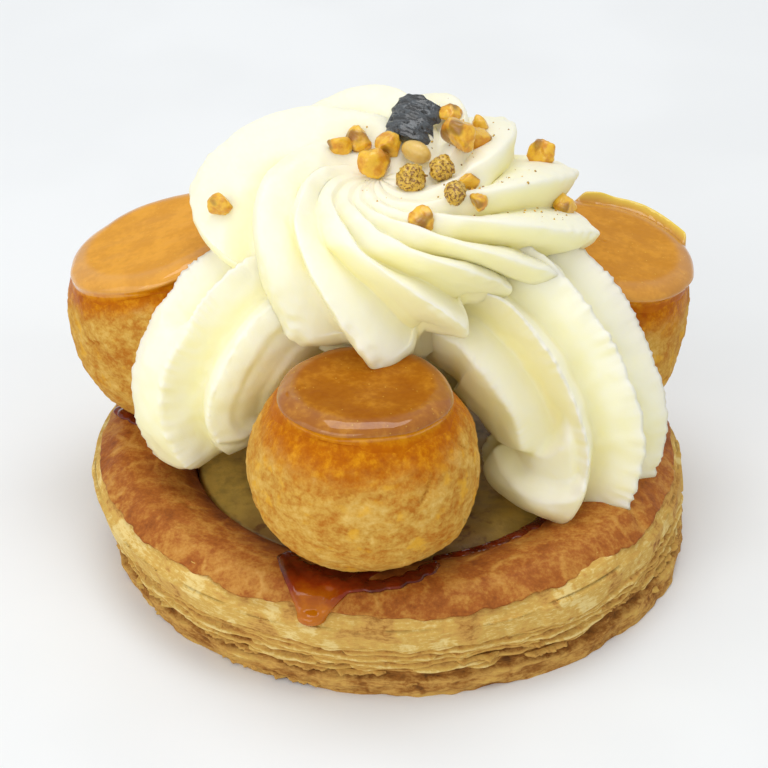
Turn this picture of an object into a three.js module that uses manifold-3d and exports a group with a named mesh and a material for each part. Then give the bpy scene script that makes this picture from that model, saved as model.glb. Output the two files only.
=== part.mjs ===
// An individual Saint-Honore: a rimmed round of puff pastry filled with pastry cream, three choux
// buns under caramel discs, piped cream between and over the buns, caramelised nuts and a dark shard.
// Millimetres, +Z up. The origin is on the floor under the middle of the rim, and the bun that
// stands by itself faces -Y.

import * as THREE from 'three';
import { mergeVertices } from 'three/addons/utils/BufferGeometryUtils.js';
import Module from 'manifold-3d';

const GAP = 0.35; // clearance between neighbouring pieces
const FINEST = 0.03; // cuts leave no edges finer than about this

// Puff pastry base
const BASE_RADIUS = 48; // widest, just under the glazed rim
const FOOT_RADIUS = 46;
const FOOT_SHIFT = 2.4; // the foot stands this far to +X of the rim, so the side leans
const RIM_HEIGHT = 17.4;
const RIM_CROWN_RADIUS = 41.6;
const RIM_INNER_FALL = 3.2; // from the crown to the top of the recess wall
const RIM_ROUNDNESS = 2.2; // exponent of the rim's rounding
const RIM_STEPS = 6; // rings over the rim
const RIM_WAVE = 0.25;
const RIM_EDGE_HEIGHT = 12.8; // where the glazed top ends and the side begins
const RECESS_RADIUS = 31.8;
const RECESS_FLOOR_RADIUS = 30.6;
const RECESS_FLOOR = 9.5;
const BOTTOM_SHEET = 3.2; // thickness of the lowest baked layer
const BAND_FOOT = 9.2; // lower edge of the plain band under the rim
const LEAF_COUNT = 3; // loose leaves between the lowest layer and the plain band
const LEAF_DEPTH = 1.5; // how far the gaps between the leaves go in
const LEAF_WAVE = 0.55; // unevenness of the leaf edges
// A leaf from its gap to its lower edge: how far in against the depth, and how far down its share
const LEAF_PROFILE = [[1, 0.3], [0, 0.6], [0.13, 0.9]];
const BOTTOM_SHEET_BULGE = 0.5;
const BASE_COLUMNS = 56;

// Caramel drip on the front of the rim
const DRIP_AZIMUTH = 256;
const DRIP_RADIUS = 43.2;
const DRIP_HEIGHT = 15.8;
const DRIP_SIZE = [5.8, 4.8, 2]; // half length outwards, half width, half thickness
const DRIP_SLOPE = 27; // degrees, following the fall of the rim
const DRIP_SEGMENTS = [14, 8];

// Pastry cream
const FILLING_TOP = 14;
const FILLING_CROWN = 0.2; // rise in a ring round the middle
const FILLING_EDGE_FALL = 0.9; // each of the two steps down to the wall
const FILLING_WAVE = 0.35;
const FILLING_COLUMNS = 28;

// Choux buns and their caramel discs. The shoulder is the exponent of the rounded profile above the middle,
// 2 being an ellipse. A lean is in degrees, towards an azimuth in degrees.
const BUNS = {
  front: {
    centre: [-3.4, -30, 32], radius: 17.8, halfHeight: 16, shoulder: 2, lean: 3, towards: 80,
    cap: { centre: [-3.4, -29.6, 43.1], radius: 13.2, lean: 3, towards: 80 },
  },
  left: {
    centre: [-34, 11.5, 32], radius: 17.5, halfHeight: 17, shoulder: 3, lean: 6, towards: 169,
    cap: { centre: [-36.2, 12, 44.8], radius: 15.4, lean: 17, towards: 169 },
  },
  right: {
    centre: [31.8, 12, 31.2], radius: 17.1, halfHeight: 17, shoulder: 3, lean: 9, towards: 5,
    cap: { centre: [34.6, 12.2, 43.2], radius: 15.4, lean: 10.5, towards: 5 },
  },
};
const BUN_FOOT = 2.1; // exponent of the profile below the middle
const BUN_WAVE = 0.022;
const BUN_COLUMNS = 22;
const BUN_ROWS = 15;
const CAP_THICKNESS = 2.7;
const CAP_FLAT = 0.72; // flat part of the top against the radius
const CAP_LIP_STEPS = 4;
const CAP_WAVE = 0.02;
const CAP_COLUMNS = 24;

// Rosette of cream on top. Each ring is radius, height, turn in degrees and groove depth.
const ROSETTE_CENTRE = [-1, 3, 51];
const ROSETTE_LEAN = 12;
const ROSETTE_TOWARDS = 270;
const ROSETTE_RINGS = [
  [0.5, 13.6, 0, 0.1],
  [8, 15.2, 52, 0.7],
  [13.5, 16.6, 84, 2.4],
  [18.8, 16.2, 102, 4.2],
  [23.4, 12.8, 119, 5],
  [26.8, 7.2, 133, 5.4],
  [28.6, 2.2, 142, 6],
  [27, -0.6, 143, 4.6],
  [21, -3, 143, 0.6],
];
const ROSETTE_ROWS = 19; // rows of facets over the rings
// Solid cream inside the ring of buns, below the rings
const CORE_RINGS = [[20, -6], [15.5, -12], [14, -38], [0, -38]];
const SPREAD = [0.35, 0.75]; // where along the rings the petals begin to differ, and fully do
// Each petal at the rim: azimuth in degrees of the crease before it, reach against the rings' radius,
// lift, and where its crest is across it
const PETALS = [
  [15, 1.2, 0.8, 0.34], [42, 1.1, 2, 0.34], [74, 1.03, 1.5, 0.34], [110, 1.02, 0.5, 0.34],
  [150, 1.06, 4.8, 0.34], [212, 0.89, -1.4, 0.55], [261, 1, -1, 0.3], [285, 0.93, 1.5, 0.68],
  [307, 0.88, 2.7, 0.6], [332, 1.06, 0.4, 0.42], [351, 1.2, 0.6, 0.36],
];
// Columns of a petal: how far it is from the crease to the crest, or past 1 to the next crease, and height
const PETAL_PROFILE = [[0, 0], [0.5, 0.62], [1, 1], [1.5, 0.64]];

// Shells of cream between the buns. Each is a rope: the path of its middle from under the rosette to its
// foot, half its thickness at those places, the angle of its first ridge and its turn from top to foot in
// degrees, and where the valley lies from one ridge to the next. In a lobe, ridges merge: its middle and half
// its width counted in ridges, where along the rope it begins, and its depth against the grooves.
const SHELLS = {
  right: {
    path: [[4, 0, 45], [18.8, -3.2, 43.4], [30.2, -9, 28.5], [27.5, -9.5, 12]],
    radii: [10, 14.2, 13.9, 14.8], start: 36, turn: -36, valley: 0.25,
    lobes: [[5.5, 0.45, 0, -0.25], [5.9, 0.8, 0.62, 0.25], [6.2, 0.8, 0.74, -0.2]],
  },
  left: {
    path: [[-6, 0, 47], [-19.5, -4, 43.5], [-28.5, -6, 31.5], [-25.5, -6, 20.5]],
    radii: [9, 12.6, 12.8, 12.6], start: -38, turn: 55, valley: 0.75,
    lobes: [
      [2.9, 0.85, 0, 0.04], [2.75, 0.2, 0.2, 0.14], [2.85, 1, 0.8, 0.6], [0.5, 0.45, 0.45, 0.12],
    ],
  },
  back: {
    path: [[0, 6, 47], [-1, 20, 42], [-1, 30.5, 29], [0, 27, 14]],
    radii: [9, 12.6, 12.8, 12], start: 0, turn: 12, valley: 0.25,
    lobes: [],
  },
};
const SHELL_WIDTH = 1.05; // its width against its thickness
const SHELL_RIDGES = 9;
const SHELL_GROOVE = 0.36; // groove depth against the rope's radius
const SHELL_COLUMNS_PER_RIDGE = 4;
const SHELL_ROWS = 17;
const SHELL_END = 0.13; // part of the rope over which each end rounds off
const LOBE_EDGE = 0.2; // ridges over which a lobe passes into its neighbours
const LOBE_STEP = 0.07; // part of the rope over which a lobe begins
const LOBE_BOW = 0.06; // part of the rope by which a lobe begins later in its middle than at its sides

// Caramelised nuts on the rosette: plan place and size
const NUTS = [
  [-25.5, -2.5, 3.2], [-7.4, 4.6, 2.8], [-4.6, 6.8, 3.8], [-2.3, 1.4, 4], [0.5, 5, 3.4], [4.5, 3, 4.6],
  [3.8, -2.9, 4.8], [8.4, -0.9, 4.4], [10.3, -8.3, 3.8], [12.3, -3.3, 2.6], [13.7, -7.9, 2.4],
  [5.3, -12.7, 3.4], [10.1, 11.2, 3.2], [11.2, 4.8, 4.6], [14.8, 14, 2.8], [14.3, 8, 3.4], [25.1, 15, 3.8],
  [28, 6.2, 3.4],
];
const NUT_SINK = 0.18; // part of a nut's size that sits in the cream
const NUT_UNEVENNESS = 0.3;
const NUT_SEED = 7;

// Dark curled shard standing in the rosette
const SHARD_PLACE = [3.9, 9.4, 69.7];
const SHARD_WIDTH = 7.4;
const SHARD_HEIGHT = 7.8;
const SHARD_THICKNESS = 1.6;
const SHARD_CURL_RADIUS = 4.4;
const SHARD_LEAN = -64; // degrees back from upright
const SHARD_ROLL = 14; // degrees to +X
const SHARD_SWING = -10; // degrees about +Z
const SHARD_SEGMENTS = [6, 1, 3];
const SHARD_WAVE = 0.5; // unevenness of its upper and lower edge

const wasm = await Module();
wasm.setup();

const radians = THREE.MathUtils.degToRad;
const TURN = 2 * Math.PI;

// A number from 0 to 1 at each call, the same series for the same seed
function makeDraw(seed) {
  const factor = 1664525;
  const step = 1013904223;
  const range = 2 ** 32;
  let state = seed;
  return () => {
    state = (factor * state + step) % range;
    return state / range;
  };
}

// A wave from -1 to 1 that closes on itself once round
function ripple(azimuth, waves, seed) {
  const broad = Math.sin(waves * azimuth + seed);
  const fine = Math.sin((2 * waves + 1) * azimuth + 3 * seed);
  return (2 * broad + fine) / 3;
}

// A closed skin whose first and last row are single points; place gives the point of a column and row
function mould(columns, rows, place) {
  const geometry = new THREE.SphereGeometry(1, columns, rows);
  const uv = geometry.getAttribute('uv');
  const position = geometry.getAttribute('position');
  for (let i = 0; i < position.count; i += 1) {
    const row = Math.round((1 - uv.getY(i)) * rows);
    const column = row % rows === 0 ? 0 : Math.round(uv.getX(i) * columns) % columns;
    const point = place(column, row);
    position.setXYZ(i, point.x, point.y, point.z);
  }
  return bare(geometry);
}

// Only the corner points of a geometry, with shared ones merged
function bare(geometry) {
  geometry.deleteAttribute('normal');
  geometry.deleteAttribute('uv');
  return mergeVertices(geometry);
}

// A round piece from rings given from the top middle to the bottom middle
function turned(columns, rings, shape) {
  return mould(columns, rings.length - 1, (column, row) => {
    const azimuth = TURN * column / columns;
    const [radius, height] = shape(azimuth, rings[row]);
    return new THREE.Vector3(radius * Math.cos(azimuth), radius * Math.sin(azimuth), height);
  });
}

// Turn that leans the +Z axis by some degrees towards an azimuth
function leaning(lean, towards) {
  const azimuth = radians(towards);
  const axis = new THREE.Vector3(-Math.sin(azimuth), Math.cos(azimuth), 0);
  return new THREE.Matrix4().makeRotationAxis(axis, radians(lean));
}

// The same skin moved out along its own normals
function grown(geometry, amount) {
  const skin = geometry.clone();
  skin.computeVertexNormals();
  const position = skin.getAttribute('position');
  const normal = skin.getAttribute('normal');
  const point = new THREE.Vector3();
  const outwards = new THREE.Vector3();
  for (let i = 0; i < position.count; i += 1) {
    point.fromBufferAttribute(position, i);
    outwards.fromBufferAttribute(normal, i);
    point.addScaledVector(outwards, amount);
    position.setXYZ(i, point.x, point.y, point.z);
  }
  skin.deleteAttribute('normal');
  return skin;
}

function solid(geometry) {
  const vertProperties = new Float32Array(geometry.getAttribute('position').array);
  const triVerts = new Uint32Array(geometry.index.array);
  return new wasm.Manifold(new wasm.Mesh({ numProp: 3, vertProperties, triVerts }));
}

// The largest body that is left of a solid, as a geometry
function geometryOf(body) {
  const bodies = body.decompose();
  const largest = bodies.reduce((kept, other) => (other.volume() > kept.volume() ? other : kept));
  const mesh = largest.simplify(FINEST).getMesh();
  const geometry = new THREE.BufferGeometry();
  geometry.setAttribute('position', new THREE.BufferAttribute(new Float32Array(mesh.vertProperties), 3));
  geometry.setIndex(new THREE.BufferAttribute(new Uint32Array(mesh.triVerts), 1));
  return geometry;
}

// A geometry with its neighbours cut away, leaving the clearance
function cutBy(geometry, neighbours) {
  let body = solid(geometry);
  for (const neighbour of neighbours) {
    body = body.subtract(solid(grown(neighbour, GAP))).subtract(solid(neighbour));
  }
  return geometryOf(body);
}

// Rings of the base, from the middle of the recess over the rim and down the side to the foot.
// Each is radius, height and unevenness.
function baseRings() {
  const rings = [
    [0, RECESS_FLOOR, 0],
    [RECESS_FLOOR_RADIUS, RECESS_FLOOR, 0],
  ];
  for (let i = 0; i <= RIM_STEPS; i += 1) {
    const side = 2 * i / RIM_STEPS - 1;
    const edge = side < 0 ? RECESS_RADIUS : BASE_RADIUS;
    const fall = side < 0 ? RIM_INNER_FALL : RIM_HEIGHT - RIM_EDGE_HEIGHT;
    const radius = THREE.MathUtils.lerp(RIM_CROWN_RADIUS, edge, Math.abs(side));
    rings.push([radius, RIM_HEIGHT - fall * Math.abs(side) ** RIM_ROUNDNESS, RIM_WAVE]);
  }
  rings.push([BASE_RADIUS - LEAF_WAVE, BAND_FOOT, LEAF_WAVE / 2]);
  const pitch = (BAND_FOOT - BOTTOM_SHEET) / LEAF_COUNT;
  for (let leaf = 0; leaf < LEAF_COUNT; leaf += 1) {
    const top = BAND_FOOT - leaf * pitch;
    const edge = THREE.MathUtils.lerp(FOOT_RADIUS, BASE_RADIUS, (top - pitch) / BAND_FOOT);
    for (const [inwards, down] of LEAF_PROFILE) {
      rings.push([edge - inwards * LEAF_DEPTH, top - down * pitch, LEAF_WAVE * (1 - inwards / 2)]);
    }
  }
  rings.push([FOOT_RADIUS - LEAF_DEPTH / 2, BOTTOM_SHEET, LEAF_WAVE / 2]);
  rings.push([FOOT_RADIUS + BOTTOM_SHEET_BULGE, BOTTOM_SHEET / 2, LEAF_WAVE]);
  rings.push([FOOT_RADIUS, 0, LEAF_WAVE]);
  rings.push([0, 0, 0]);
  return rings;
}

function makeBase() {
  const rings = baseRings();
  const geometry = turned(BASE_COLUMNS, rings, (azimuth, ring) => {
    const [radius, height, wave] = ring;
    const seed = rings.indexOf(ring);
    const lift = height > 0 ? wave * ripple(azimuth, 4, 2 * seed) : 0;
    return [radius + wave * ripple(azimuth, 7, seed), height + lift];
  });
  const position = geometry.getAttribute('position');
  for (let i = 0; i < position.count; i += 1) {
    const height = Math.min(position.getZ(i), RIM_EDGE_HEIGHT);
    const outside = Math.hypot(position.getX(i), position.getY(i)) > RIM_CROWN_RADIUS ? 1 : 0;
    position.setX(i, position.getX(i) + outside * FOOT_SHIFT * (1 - height / RIM_EDGE_HEIGHT));
  }
  return geometry;
}

// The caramel that ran from under a bun over the rim
function makeDrip() {
  const drip = bare(new THREE.SphereGeometry(1, ...DRIP_SEGMENTS));
  drip.scale(...DRIP_SIZE);
  drip.rotateY(radians(DRIP_SLOPE));
  drip.translate(DRIP_RADIUS, 0, DRIP_HEIGHT);
  drip.rotateZ(radians(DRIP_AZIMUTH));
  return drip;
}

function makeFilling() {
  const wall = RECESS_RADIUS - GAP;
  const rings = [
    [0, FILLING_TOP, 0],
    [wall / 3, FILLING_TOP + FILLING_CROWN, 1],
    [2 * wall / 3, FILLING_TOP, 1],
    [wall - FILLING_EDGE_FALL, FILLING_TOP - FILLING_EDGE_FALL, 1],
    [wall - FILLING_EDGE_FALL / 2, FILLING_TOP - 2 * FILLING_EDGE_FALL, 0],
    [RECESS_FLOOR_RADIUS - GAP, RECESS_FLOOR + GAP, 0],
    [0, RECESS_FLOOR + GAP, 0],
  ];
  return turned(FILLING_COLUMNS, rings, (azimuth, [radius, height, wave]) => (
    [radius, height + wave * FILLING_WAVE * ripple(azimuth, 5, radius)]
  ));
}

function makeBun(bun) {
  const rings = [];
  for (let row = 0; row <= BUN_ROWS; row += 1) {
    const angle = Math.PI * row / BUN_ROWS;
    const power = 2 / (2 * row < BUN_ROWS ? bun.shoulder : BUN_FOOT);
    const radius = bun.radius * Math.sin(angle) ** power;
    const height = bun.halfHeight * Math.sign(Math.cos(angle)) * Math.abs(Math.cos(angle)) ** power;
    rings.push([row === 0 || row === BUN_ROWS ? 0 : radius, height]);
  }
  const skin = turned(BUN_COLUMNS, rings, (azimuth, [radius, height]) => {
    const wave = BUN_WAVE * ripple(azimuth, 3, height + bun.radius);
    return [radius * (1 + wave), height];
  });
  skin.applyMatrix4(leaning(bun.lean, bun.towards));
  skin.translate(...bun.centre);
  flatten(skin, bun.cap);
  return skin;
}

// Presses all that stands above the underside of a caramel disc down to just below it
function flatten(skin, cap) {
  const up = new THREE.Vector3(0, 0, 1).applyMatrix4(leaning(cap.lean, cap.towards));
  const underside = new THREE.Plane().setFromNormalAndCoplanarPoint(up, new THREE.Vector3(...cap.centre));
  const position = skin.getAttribute('position');
  const point = new THREE.Vector3();
  for (let i = 0; i < position.count; i += 1) {
    point.fromBufferAttribute(position, i);
    const above = Math.max(underside.distanceToPoint(point) + GAP, 0);
    point.addScaledVector(up, -above);
    position.setXYZ(i, point.x, point.y, point.z);
  }
}

// Flat caramel disc with a rounded lip, its underside at the given centre
function makeCap(cap) {
  const lip = CAP_THICKNESS / 2;
  const rings = [[0, CAP_THICKNESS], [cap.radius * CAP_FLAT, CAP_THICKNESS]];
  for (let i = 0; i <= CAP_LIP_STEPS; i += 1) {
    const angle = Math.PI * (0.5 - i / CAP_LIP_STEPS);
    rings.push([cap.radius - lip + lip * Math.cos(angle), lip + lip * Math.sin(angle)]);
  }
  rings.push([0, 0]);
  const disc = turned(CAP_COLUMNS, rings, (azimuth, [radius, height]) => (
    [radius * (1 + CAP_WAVE * ripple(azimuth, 3, cap.lean)), height]
  ));
  disc.applyMatrix4(leaning(cap.lean, cap.towards));
  disc.translate(...cap.centre);
  return disc;
}

// Azimuth, reach, lift and height of crest for a column that runs along the petals
function petalColumn(column) {
  const steps = PETAL_PROFILE.length;
  const petal = Math.floor(column / steps);
  const [step, crest] = PETAL_PROFILE[column % steps];
  const [azimuth, reach, lift, crestPlace] = PETALS[petal];
  const [, reachBefore, liftBefore] = PETALS.at(petal - 1);
  const [nextAzimuth] = PETALS[(petal + 1) % PETALS.length];
  const width = (nextAzimuth - azimuth + 360) % 360;
  const across = step < 1 ? step * crestPlace : THREE.MathUtils.lerp(crestPlace, 1, step - 1);
  const own = step > 0 ? 1 : 0.5; // a crease is shared with the petal before
  return {
    azimuth: azimuth + across * width,
    reach: THREE.MathUtils.lerp(reachBefore, reach, own),
    lift: THREE.MathUtils.lerp(liftBefore, lift, own),
    crest,
  };
}

function makeRosette() {
  const path = (a, b, c) => new THREE.CatmullRomCurve3(
    ROSETTE_RINGS.map((ring) => new THREE.Vector3(ring[a], ring[b], ring[c])),
    false,
    'catmullrom',
  );
  const outline = path(0, 1, 2);
  const grooves = path(3, 3, 3);
  const lastTurn = ROSETTE_RINGS.at(-1)[2];
  const columns = PETALS.length * PETAL_PROFILE.length;
  const rows = ROSETTE_ROWS + 1 + CORE_RINGS.length;
  const skin = mould(columns, rows, (column, row) => {
    const { azimuth, reach, lift, crest } = petalColumn(column);
    if (row > ROSETTE_ROWS + 1) {
      const [radius, height] = CORE_RINGS[row - ROSETTE_ROWS - 2];
      const angle = radians(azimuth);
      return new THREE.Vector3(radius * Math.cos(angle), radius * Math.sin(angle), height);
    }
    const along = Math.max(row - 1, 0) / ROSETTE_ROWS;
    const ring = outline.getPoint(along);
    const slope = outline.getTangent(along);
    const fall = new THREE.Vector2(Math.max(slope.x, 0), slope.y).normalize(); // under the rim, straight down
    const groove = (1 - crest) * grooves.getPoint(along).x;
    const spread = THREE.MathUtils.smoothstep(along, ...SPREAD);
    const radius = row === 0 ? 0 : ring.x * (1 + (reach - 1) * spread) + groove * fall.y;
    const angle = radians(azimuth - lastTurn + ring.z);
    const height = ring.y + lift * spread - groove * fall.x;
    return new THREE.Vector3(radius * Math.cos(angle), radius * Math.sin(angle), height);
  });
  skin.applyMatrix4(leaning(ROSETTE_LEAN, ROSETTE_TOWARDS));
  skin.translate(...ROSETTE_CENTRE);
  return skin;
}

// A rope of cream with ridges along it, drawn from under the rosette out and down to the base
function makeShell(shell) {
  const path = new THREE.CatmullRomCurve3(shell.path.map((place) => new THREE.Vector3(...place)));
  const radii = new THREE.CatmullRomCurve3(
    shell.radii.map((radius) => new THREE.Vector3(radius, 0, 0)),
    false,
    'catmullrom',
  );
  const [outX, outY] = shell.path[2];
  const sideways = new THREE.Vector3(-outY, outX, 0).normalize();
  const columns = SHELL_RIDGES * SHELL_COLUMNS_PER_RIDGE;
  return mould(columns, SHELL_ROWS, (column, row) => {
    const along = row / SHELL_ROWS;
    const fromEnd = Math.min(along, 1 - along) / SHELL_END;
    const rounding = fromEnd < 1 ? Math.sqrt(1 - (1 - fromEnd) ** 2) : 1;
    const ridge = column / SHELL_COLUMNS_PER_RIDGE;
    const past = ridge % 1;
    const fall = Math.min(past / shell.valley, (1 - past) / (1 - shell.valley));
    let depth = Math.sin(fall * Math.PI / 2);
    for (const [middle, half, begins, level] of shell.lobes) {
      const off = Math.abs(ridge - middle);
      const outside = THREE.MathUtils.smoothstep(off, half, half + LOBE_EDGE);
      const bow = begins > 0 ? LOBE_BOW * (1 - Math.min(off / half, 1) ** 2) : 0;
      const late = THREE.MathUtils.smoothstep(along - bow, begins, begins + LOBE_STEP);
      const merged = (1 - outside) * late;
      depth = THREE.MathUtils.lerp(depth, level, merged);
    }
    const radius = radii.getPoint(along).x * rounding * (1 - SHELL_GROOVE * depth);
    const down = path.getTangent(along);
    const side = sideways.clone().addScaledVector(down, -sideways.dot(down)).normalize();
    const outwards = new THREE.Vector3().crossVectors(down, side);
    const angle = TURN * column / columns + radians(shell.start + shell.turn * along);
    return path.getPoint(along)
      .addScaledVector(outwards, radius * Math.cos(angle))
      .addScaledVector(side, SHELL_WIDTH * radius * Math.sin(angle));
  });
}

// Height of the top of a piece over a place in plan
function heightOver(geometry, x, y) {
  const high = 200;
  const ray = new THREE.Raycaster(new THREE.Vector3(x, y, high), new THREE.Vector3(0, 0, -1));
  const [hit] = ray.intersectObject(new THREE.Mesh(geometry));
  return hit.point.z;
}

// Broken nuts, each pressed a little into the rosette
function makeNuts(rosette) {
  const draw = makeDraw(NUT_SEED);
  return NUTS.map(([x, y, size]) => {
    const nut = bare(new THREE.IcosahedronGeometry(size / 2, 0));
    const position = nut.getAttribute('position');
    for (let i = 0; i < position.count; i += 1) {
      const stretch = 1 + NUT_UNEVENNESS * (2 * draw() - 1);
      position.setXYZ(i, position.getX(i) * stretch, position.getY(i) * stretch, position.getZ(i) * stretch);
    }
    nut.rotateX(TURN * draw());
    nut.rotateZ(TURN * draw());
    nut.translate(x, y, heightOver(rosette, x, y) + (0.5 - NUT_SINK) * size);
    return nut;
  });
}

// Pieces that have grown into one
function joined(geometry, others) {
  let body = solid(geometry);
  for (const other of others) {
    body = body.add(solid(other));
  }
  return geometryOf(body);
}

// A plate curled about its upright axis and leaned back
function makeShard() {
  const plate = bare(new THREE.BoxGeometry(SHARD_WIDTH, SHARD_THICKNESS, SHARD_HEIGHT, ...SHARD_SEGMENTS));
  const position = plate.getAttribute('position');
  for (let i = 0; i < position.count; i += 1) {
    const angle = position.getX(i) / SHARD_CURL_RADIUS;
    const radius = SHARD_CURL_RADIUS - position.getY(i);
    const height = position.getZ(i) + SHARD_WAVE * ripple(angle, 4, position.getZ(i));
    position.setXYZ(i, radius * Math.sin(angle), SHARD_CURL_RADIUS - radius * Math.cos(angle), height);
  }
  plate.rotateY(radians(SHARD_ROLL));
  plate.rotateX(radians(SHARD_LEAN));
  plate.rotateZ(radians(SHARD_SWING));
  plate.translate(...SHARD_PLACE);
  return plate;
}

const finishes = {
  pastry: { color: 0xa9672a, roughness: 0.5 },
  custard: { color: 0xd9c46a, roughness: 0.5 },
  choux: { color: 0xc9924a, roughness: 0.7 },
  caramel: { color: 0xb5651d, roughness: 0.15 },
  cream: { color: 0xf6efd2, roughness: 0.5 },
  shard: { color: 0x1d2530, roughness: 0.35 },
};

const group = new THREE.Group();

function addPiece(name, finish, geometry) {
  const material = new THREE.MeshStandardMaterial({ ...finishes[finish], metalness: 0 });
  const mesh = new THREE.Mesh(geometry, material);
  mesh.name = name;
  group.add(mesh);
}

const base = makeBase();
const filling = makeFilling();
const buns = Object.values(BUNS).map(makeBun);
const caps = Object.values(BUNS).map((bun) => makeCap(bun.cap));
const rosette = makeRosette();
const nuts = makeNuts(rosette);

addPiece('puff_pastry_base', 'pastry', joined(base, [cutBy(makeDrip(), buns)]));
addPiece('pastry_cream', 'custard', filling);
Object.keys(BUNS).forEach((name, i) => {
  addPiece(`choux_${name}`, 'choux', cutBy(buns[i], [base, filling]));
  addPiece(`caramel_cap_${name}`, 'caramel', caps[i]);
});
addPiece('cream_rosette', 'cream', joined(cutBy(rosette, [filling, ...buns, ...caps]), nuts));
const shells = [];
for (const name of Object.keys(SHELLS)) {
  const shell = makeShell(SHELLS[name]);
  const neighbours = [base, filling, ...buns, ...caps, rosette, ...shells];
  addPiece(`cream_shell_${name}`, 'cream', cutBy(shell, neighbours));
  shells.push(shell);
}
addPiece('dark_shard', 'shard', cutBy(makeShard(), [rosette, ...nuts]));

export default group;
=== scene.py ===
import math

import bmesh
import bpy
import numpy as np
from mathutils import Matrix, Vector


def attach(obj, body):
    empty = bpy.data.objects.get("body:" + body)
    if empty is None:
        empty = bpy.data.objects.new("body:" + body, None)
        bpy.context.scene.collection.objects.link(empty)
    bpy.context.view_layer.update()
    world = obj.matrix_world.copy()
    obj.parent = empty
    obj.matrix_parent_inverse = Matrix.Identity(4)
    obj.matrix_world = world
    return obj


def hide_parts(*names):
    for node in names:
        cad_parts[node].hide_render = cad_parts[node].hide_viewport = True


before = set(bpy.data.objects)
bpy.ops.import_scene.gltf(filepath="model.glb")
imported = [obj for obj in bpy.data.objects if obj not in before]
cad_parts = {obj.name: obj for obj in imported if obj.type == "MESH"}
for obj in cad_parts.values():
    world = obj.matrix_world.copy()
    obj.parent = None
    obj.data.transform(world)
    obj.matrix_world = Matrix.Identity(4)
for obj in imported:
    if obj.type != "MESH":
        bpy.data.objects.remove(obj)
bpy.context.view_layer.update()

bl_info = {
    "name": "Individual Saint-Honore",
    "version": (1, 0, 0),
    "blender": (4, 5, 0),
    "location": "View3D > Sidebar > Pastry",
    "description": "Dresses a choux pastry: baked crusts, caramel, piped cream and its toppings",
    "category": "Object",
}

BODY = "root"
MM = 0.001
TURN = 2 * math.pi

# All sizes below are in millimetres and all angles in degrees, with +Z up, and they follow the solids

# Rim and recess of the puff pastry base, and how far its foot stands to one side
RIM_INNER_FALL = 3.2
RIM_ROUNDNESS = 2.2
RIM_WAVE = 0.25
RIM_EDGE = 14.9
RECESS_FLOOR_RADIUS = 30.6
RECESS_FLOOR = 9.5
FOOT_SHIFT = 2.4
# Radius of the side at some heights, as height and radius
SIDE_RADII = [(0, 46), (1.6, 46.5), (3.2, 46.6), (9.2, 47.6), (12.8, 48)]
# Heights on the side: lower edges of the plain band, of the torn leaves and of the hollow, and one leaf
BAND_FOOT = 9.4
LEAVES_FOOT = 4
HOLLOW_FOOT = 3.1
LEAF_PITCH = 0.8
# Loose leaves stand out at levels: the lowest, the step to the next, the number of steps, and their droop
LOOSE_LOWEST = 0.9
LOOSE_STEP = 1.7
LOOSE_STEPS = 4.0
LOOSE_DROOP = 0.35
# Pastry cream in the recess
FILLING_TOP = 14
FILLING_EDGE_FALL = 0.9
# Space left between pieces that touch
GAP = 0.35

# Each bun: its middle, its size, how square its upper half is and its lean, then its caramel disc and how
# much painted sheen and light through the caramel lighten the disc
BUNS = {
    "front": {
        "centre": (-3.4, -30, 32), "radius": 17.8, "half_height": 16, "shoulder": 2,
        "lean": 3, "towards": 80, "cap_centre": (-3.4, -29.6, 43.1), "cap_radius": 13.2,
        "cap_lean": 3, "cap_towards": 80, "painted_sheen": 0,
    },
    "left": {
        "centre": (-34, 11.5, 32), "radius": 17.5, "half_height": 17, "shoulder": 3,
        "lean": 6, "towards": 169, "cap_centre": (-36.2, 12, 44.8), "cap_radius": 15.4,
        "cap_lean": 17, "cap_towards": 169, "painted_sheen": 1,
    },
    "right": {
        "centre": (31.8, 12, 31.2), "radius": 17.1, "half_height": 17, "shoulder": 3,
        "lean": 9, "towards": 5, "cap_centre": (34.6, 12.2, 43.2), "cap_radius": 15.4,
        "cap_lean": 10.5, "cap_towards": 5, "painted_sheen": 0.7,
    },
}
BUN_SQUARENESS = 2.1
BUN_WAVE = 0.022
# Radius by which azimuths become lengths round a bun
BUN_ARC = 17
# How far out the base holds up a bun
BUN_REST_REACH = 46
# Caramel discs: thickness, share by which they wave, width, fall and bend of the rounded lip, and below
# it the length and thickness of the skirt that ran down
CAP_THICKNESS = 2.7
CAP_WAVE = 0.02
CAP_LIP = 3.4
CAP_LIP_FALL = 1.9
CAP_BEND = 0.9
CAP_SKIRT = 2.2
CAP_FILM = 0.18
# Thin strip that stands up along the back edge of the right disc
STRIP_TOWARDS = 62
STRIP_SPREAD = 44
STRIP_HEIGHT = 1.7
# Caramel that ran from the front bun over the rim
DRIP_AZIMUTH = 256
DRIP_START = 38
DRIP_TIP = 47
DRIP_TIP_HEIGHT = 14
DRIP_WIDTH = 6.4
DRIP_STEPS = 18
# Caramel at the foot of a bun: first and last azimuth, number of blobs and their reach from its middle
FOOT_POOLS = {"front": (196, 330, 30, 12.2), "left": (205, 268, 14, 11)}
# Caramel along the edge of the recess: first and last azimuth, and number of blobs
RECESS_POOL = (284, 322, 24)
# How finely the blobs are joined, and how often they are smoothed
POOL_VOXEL = 0.22
POOL_ROUNDING = 8

ROSETTE_CENTRE = (-1, 3, 51)
ROSETTE_LEAN = 12
ROSETTE_TOWARDS = 270
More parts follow.
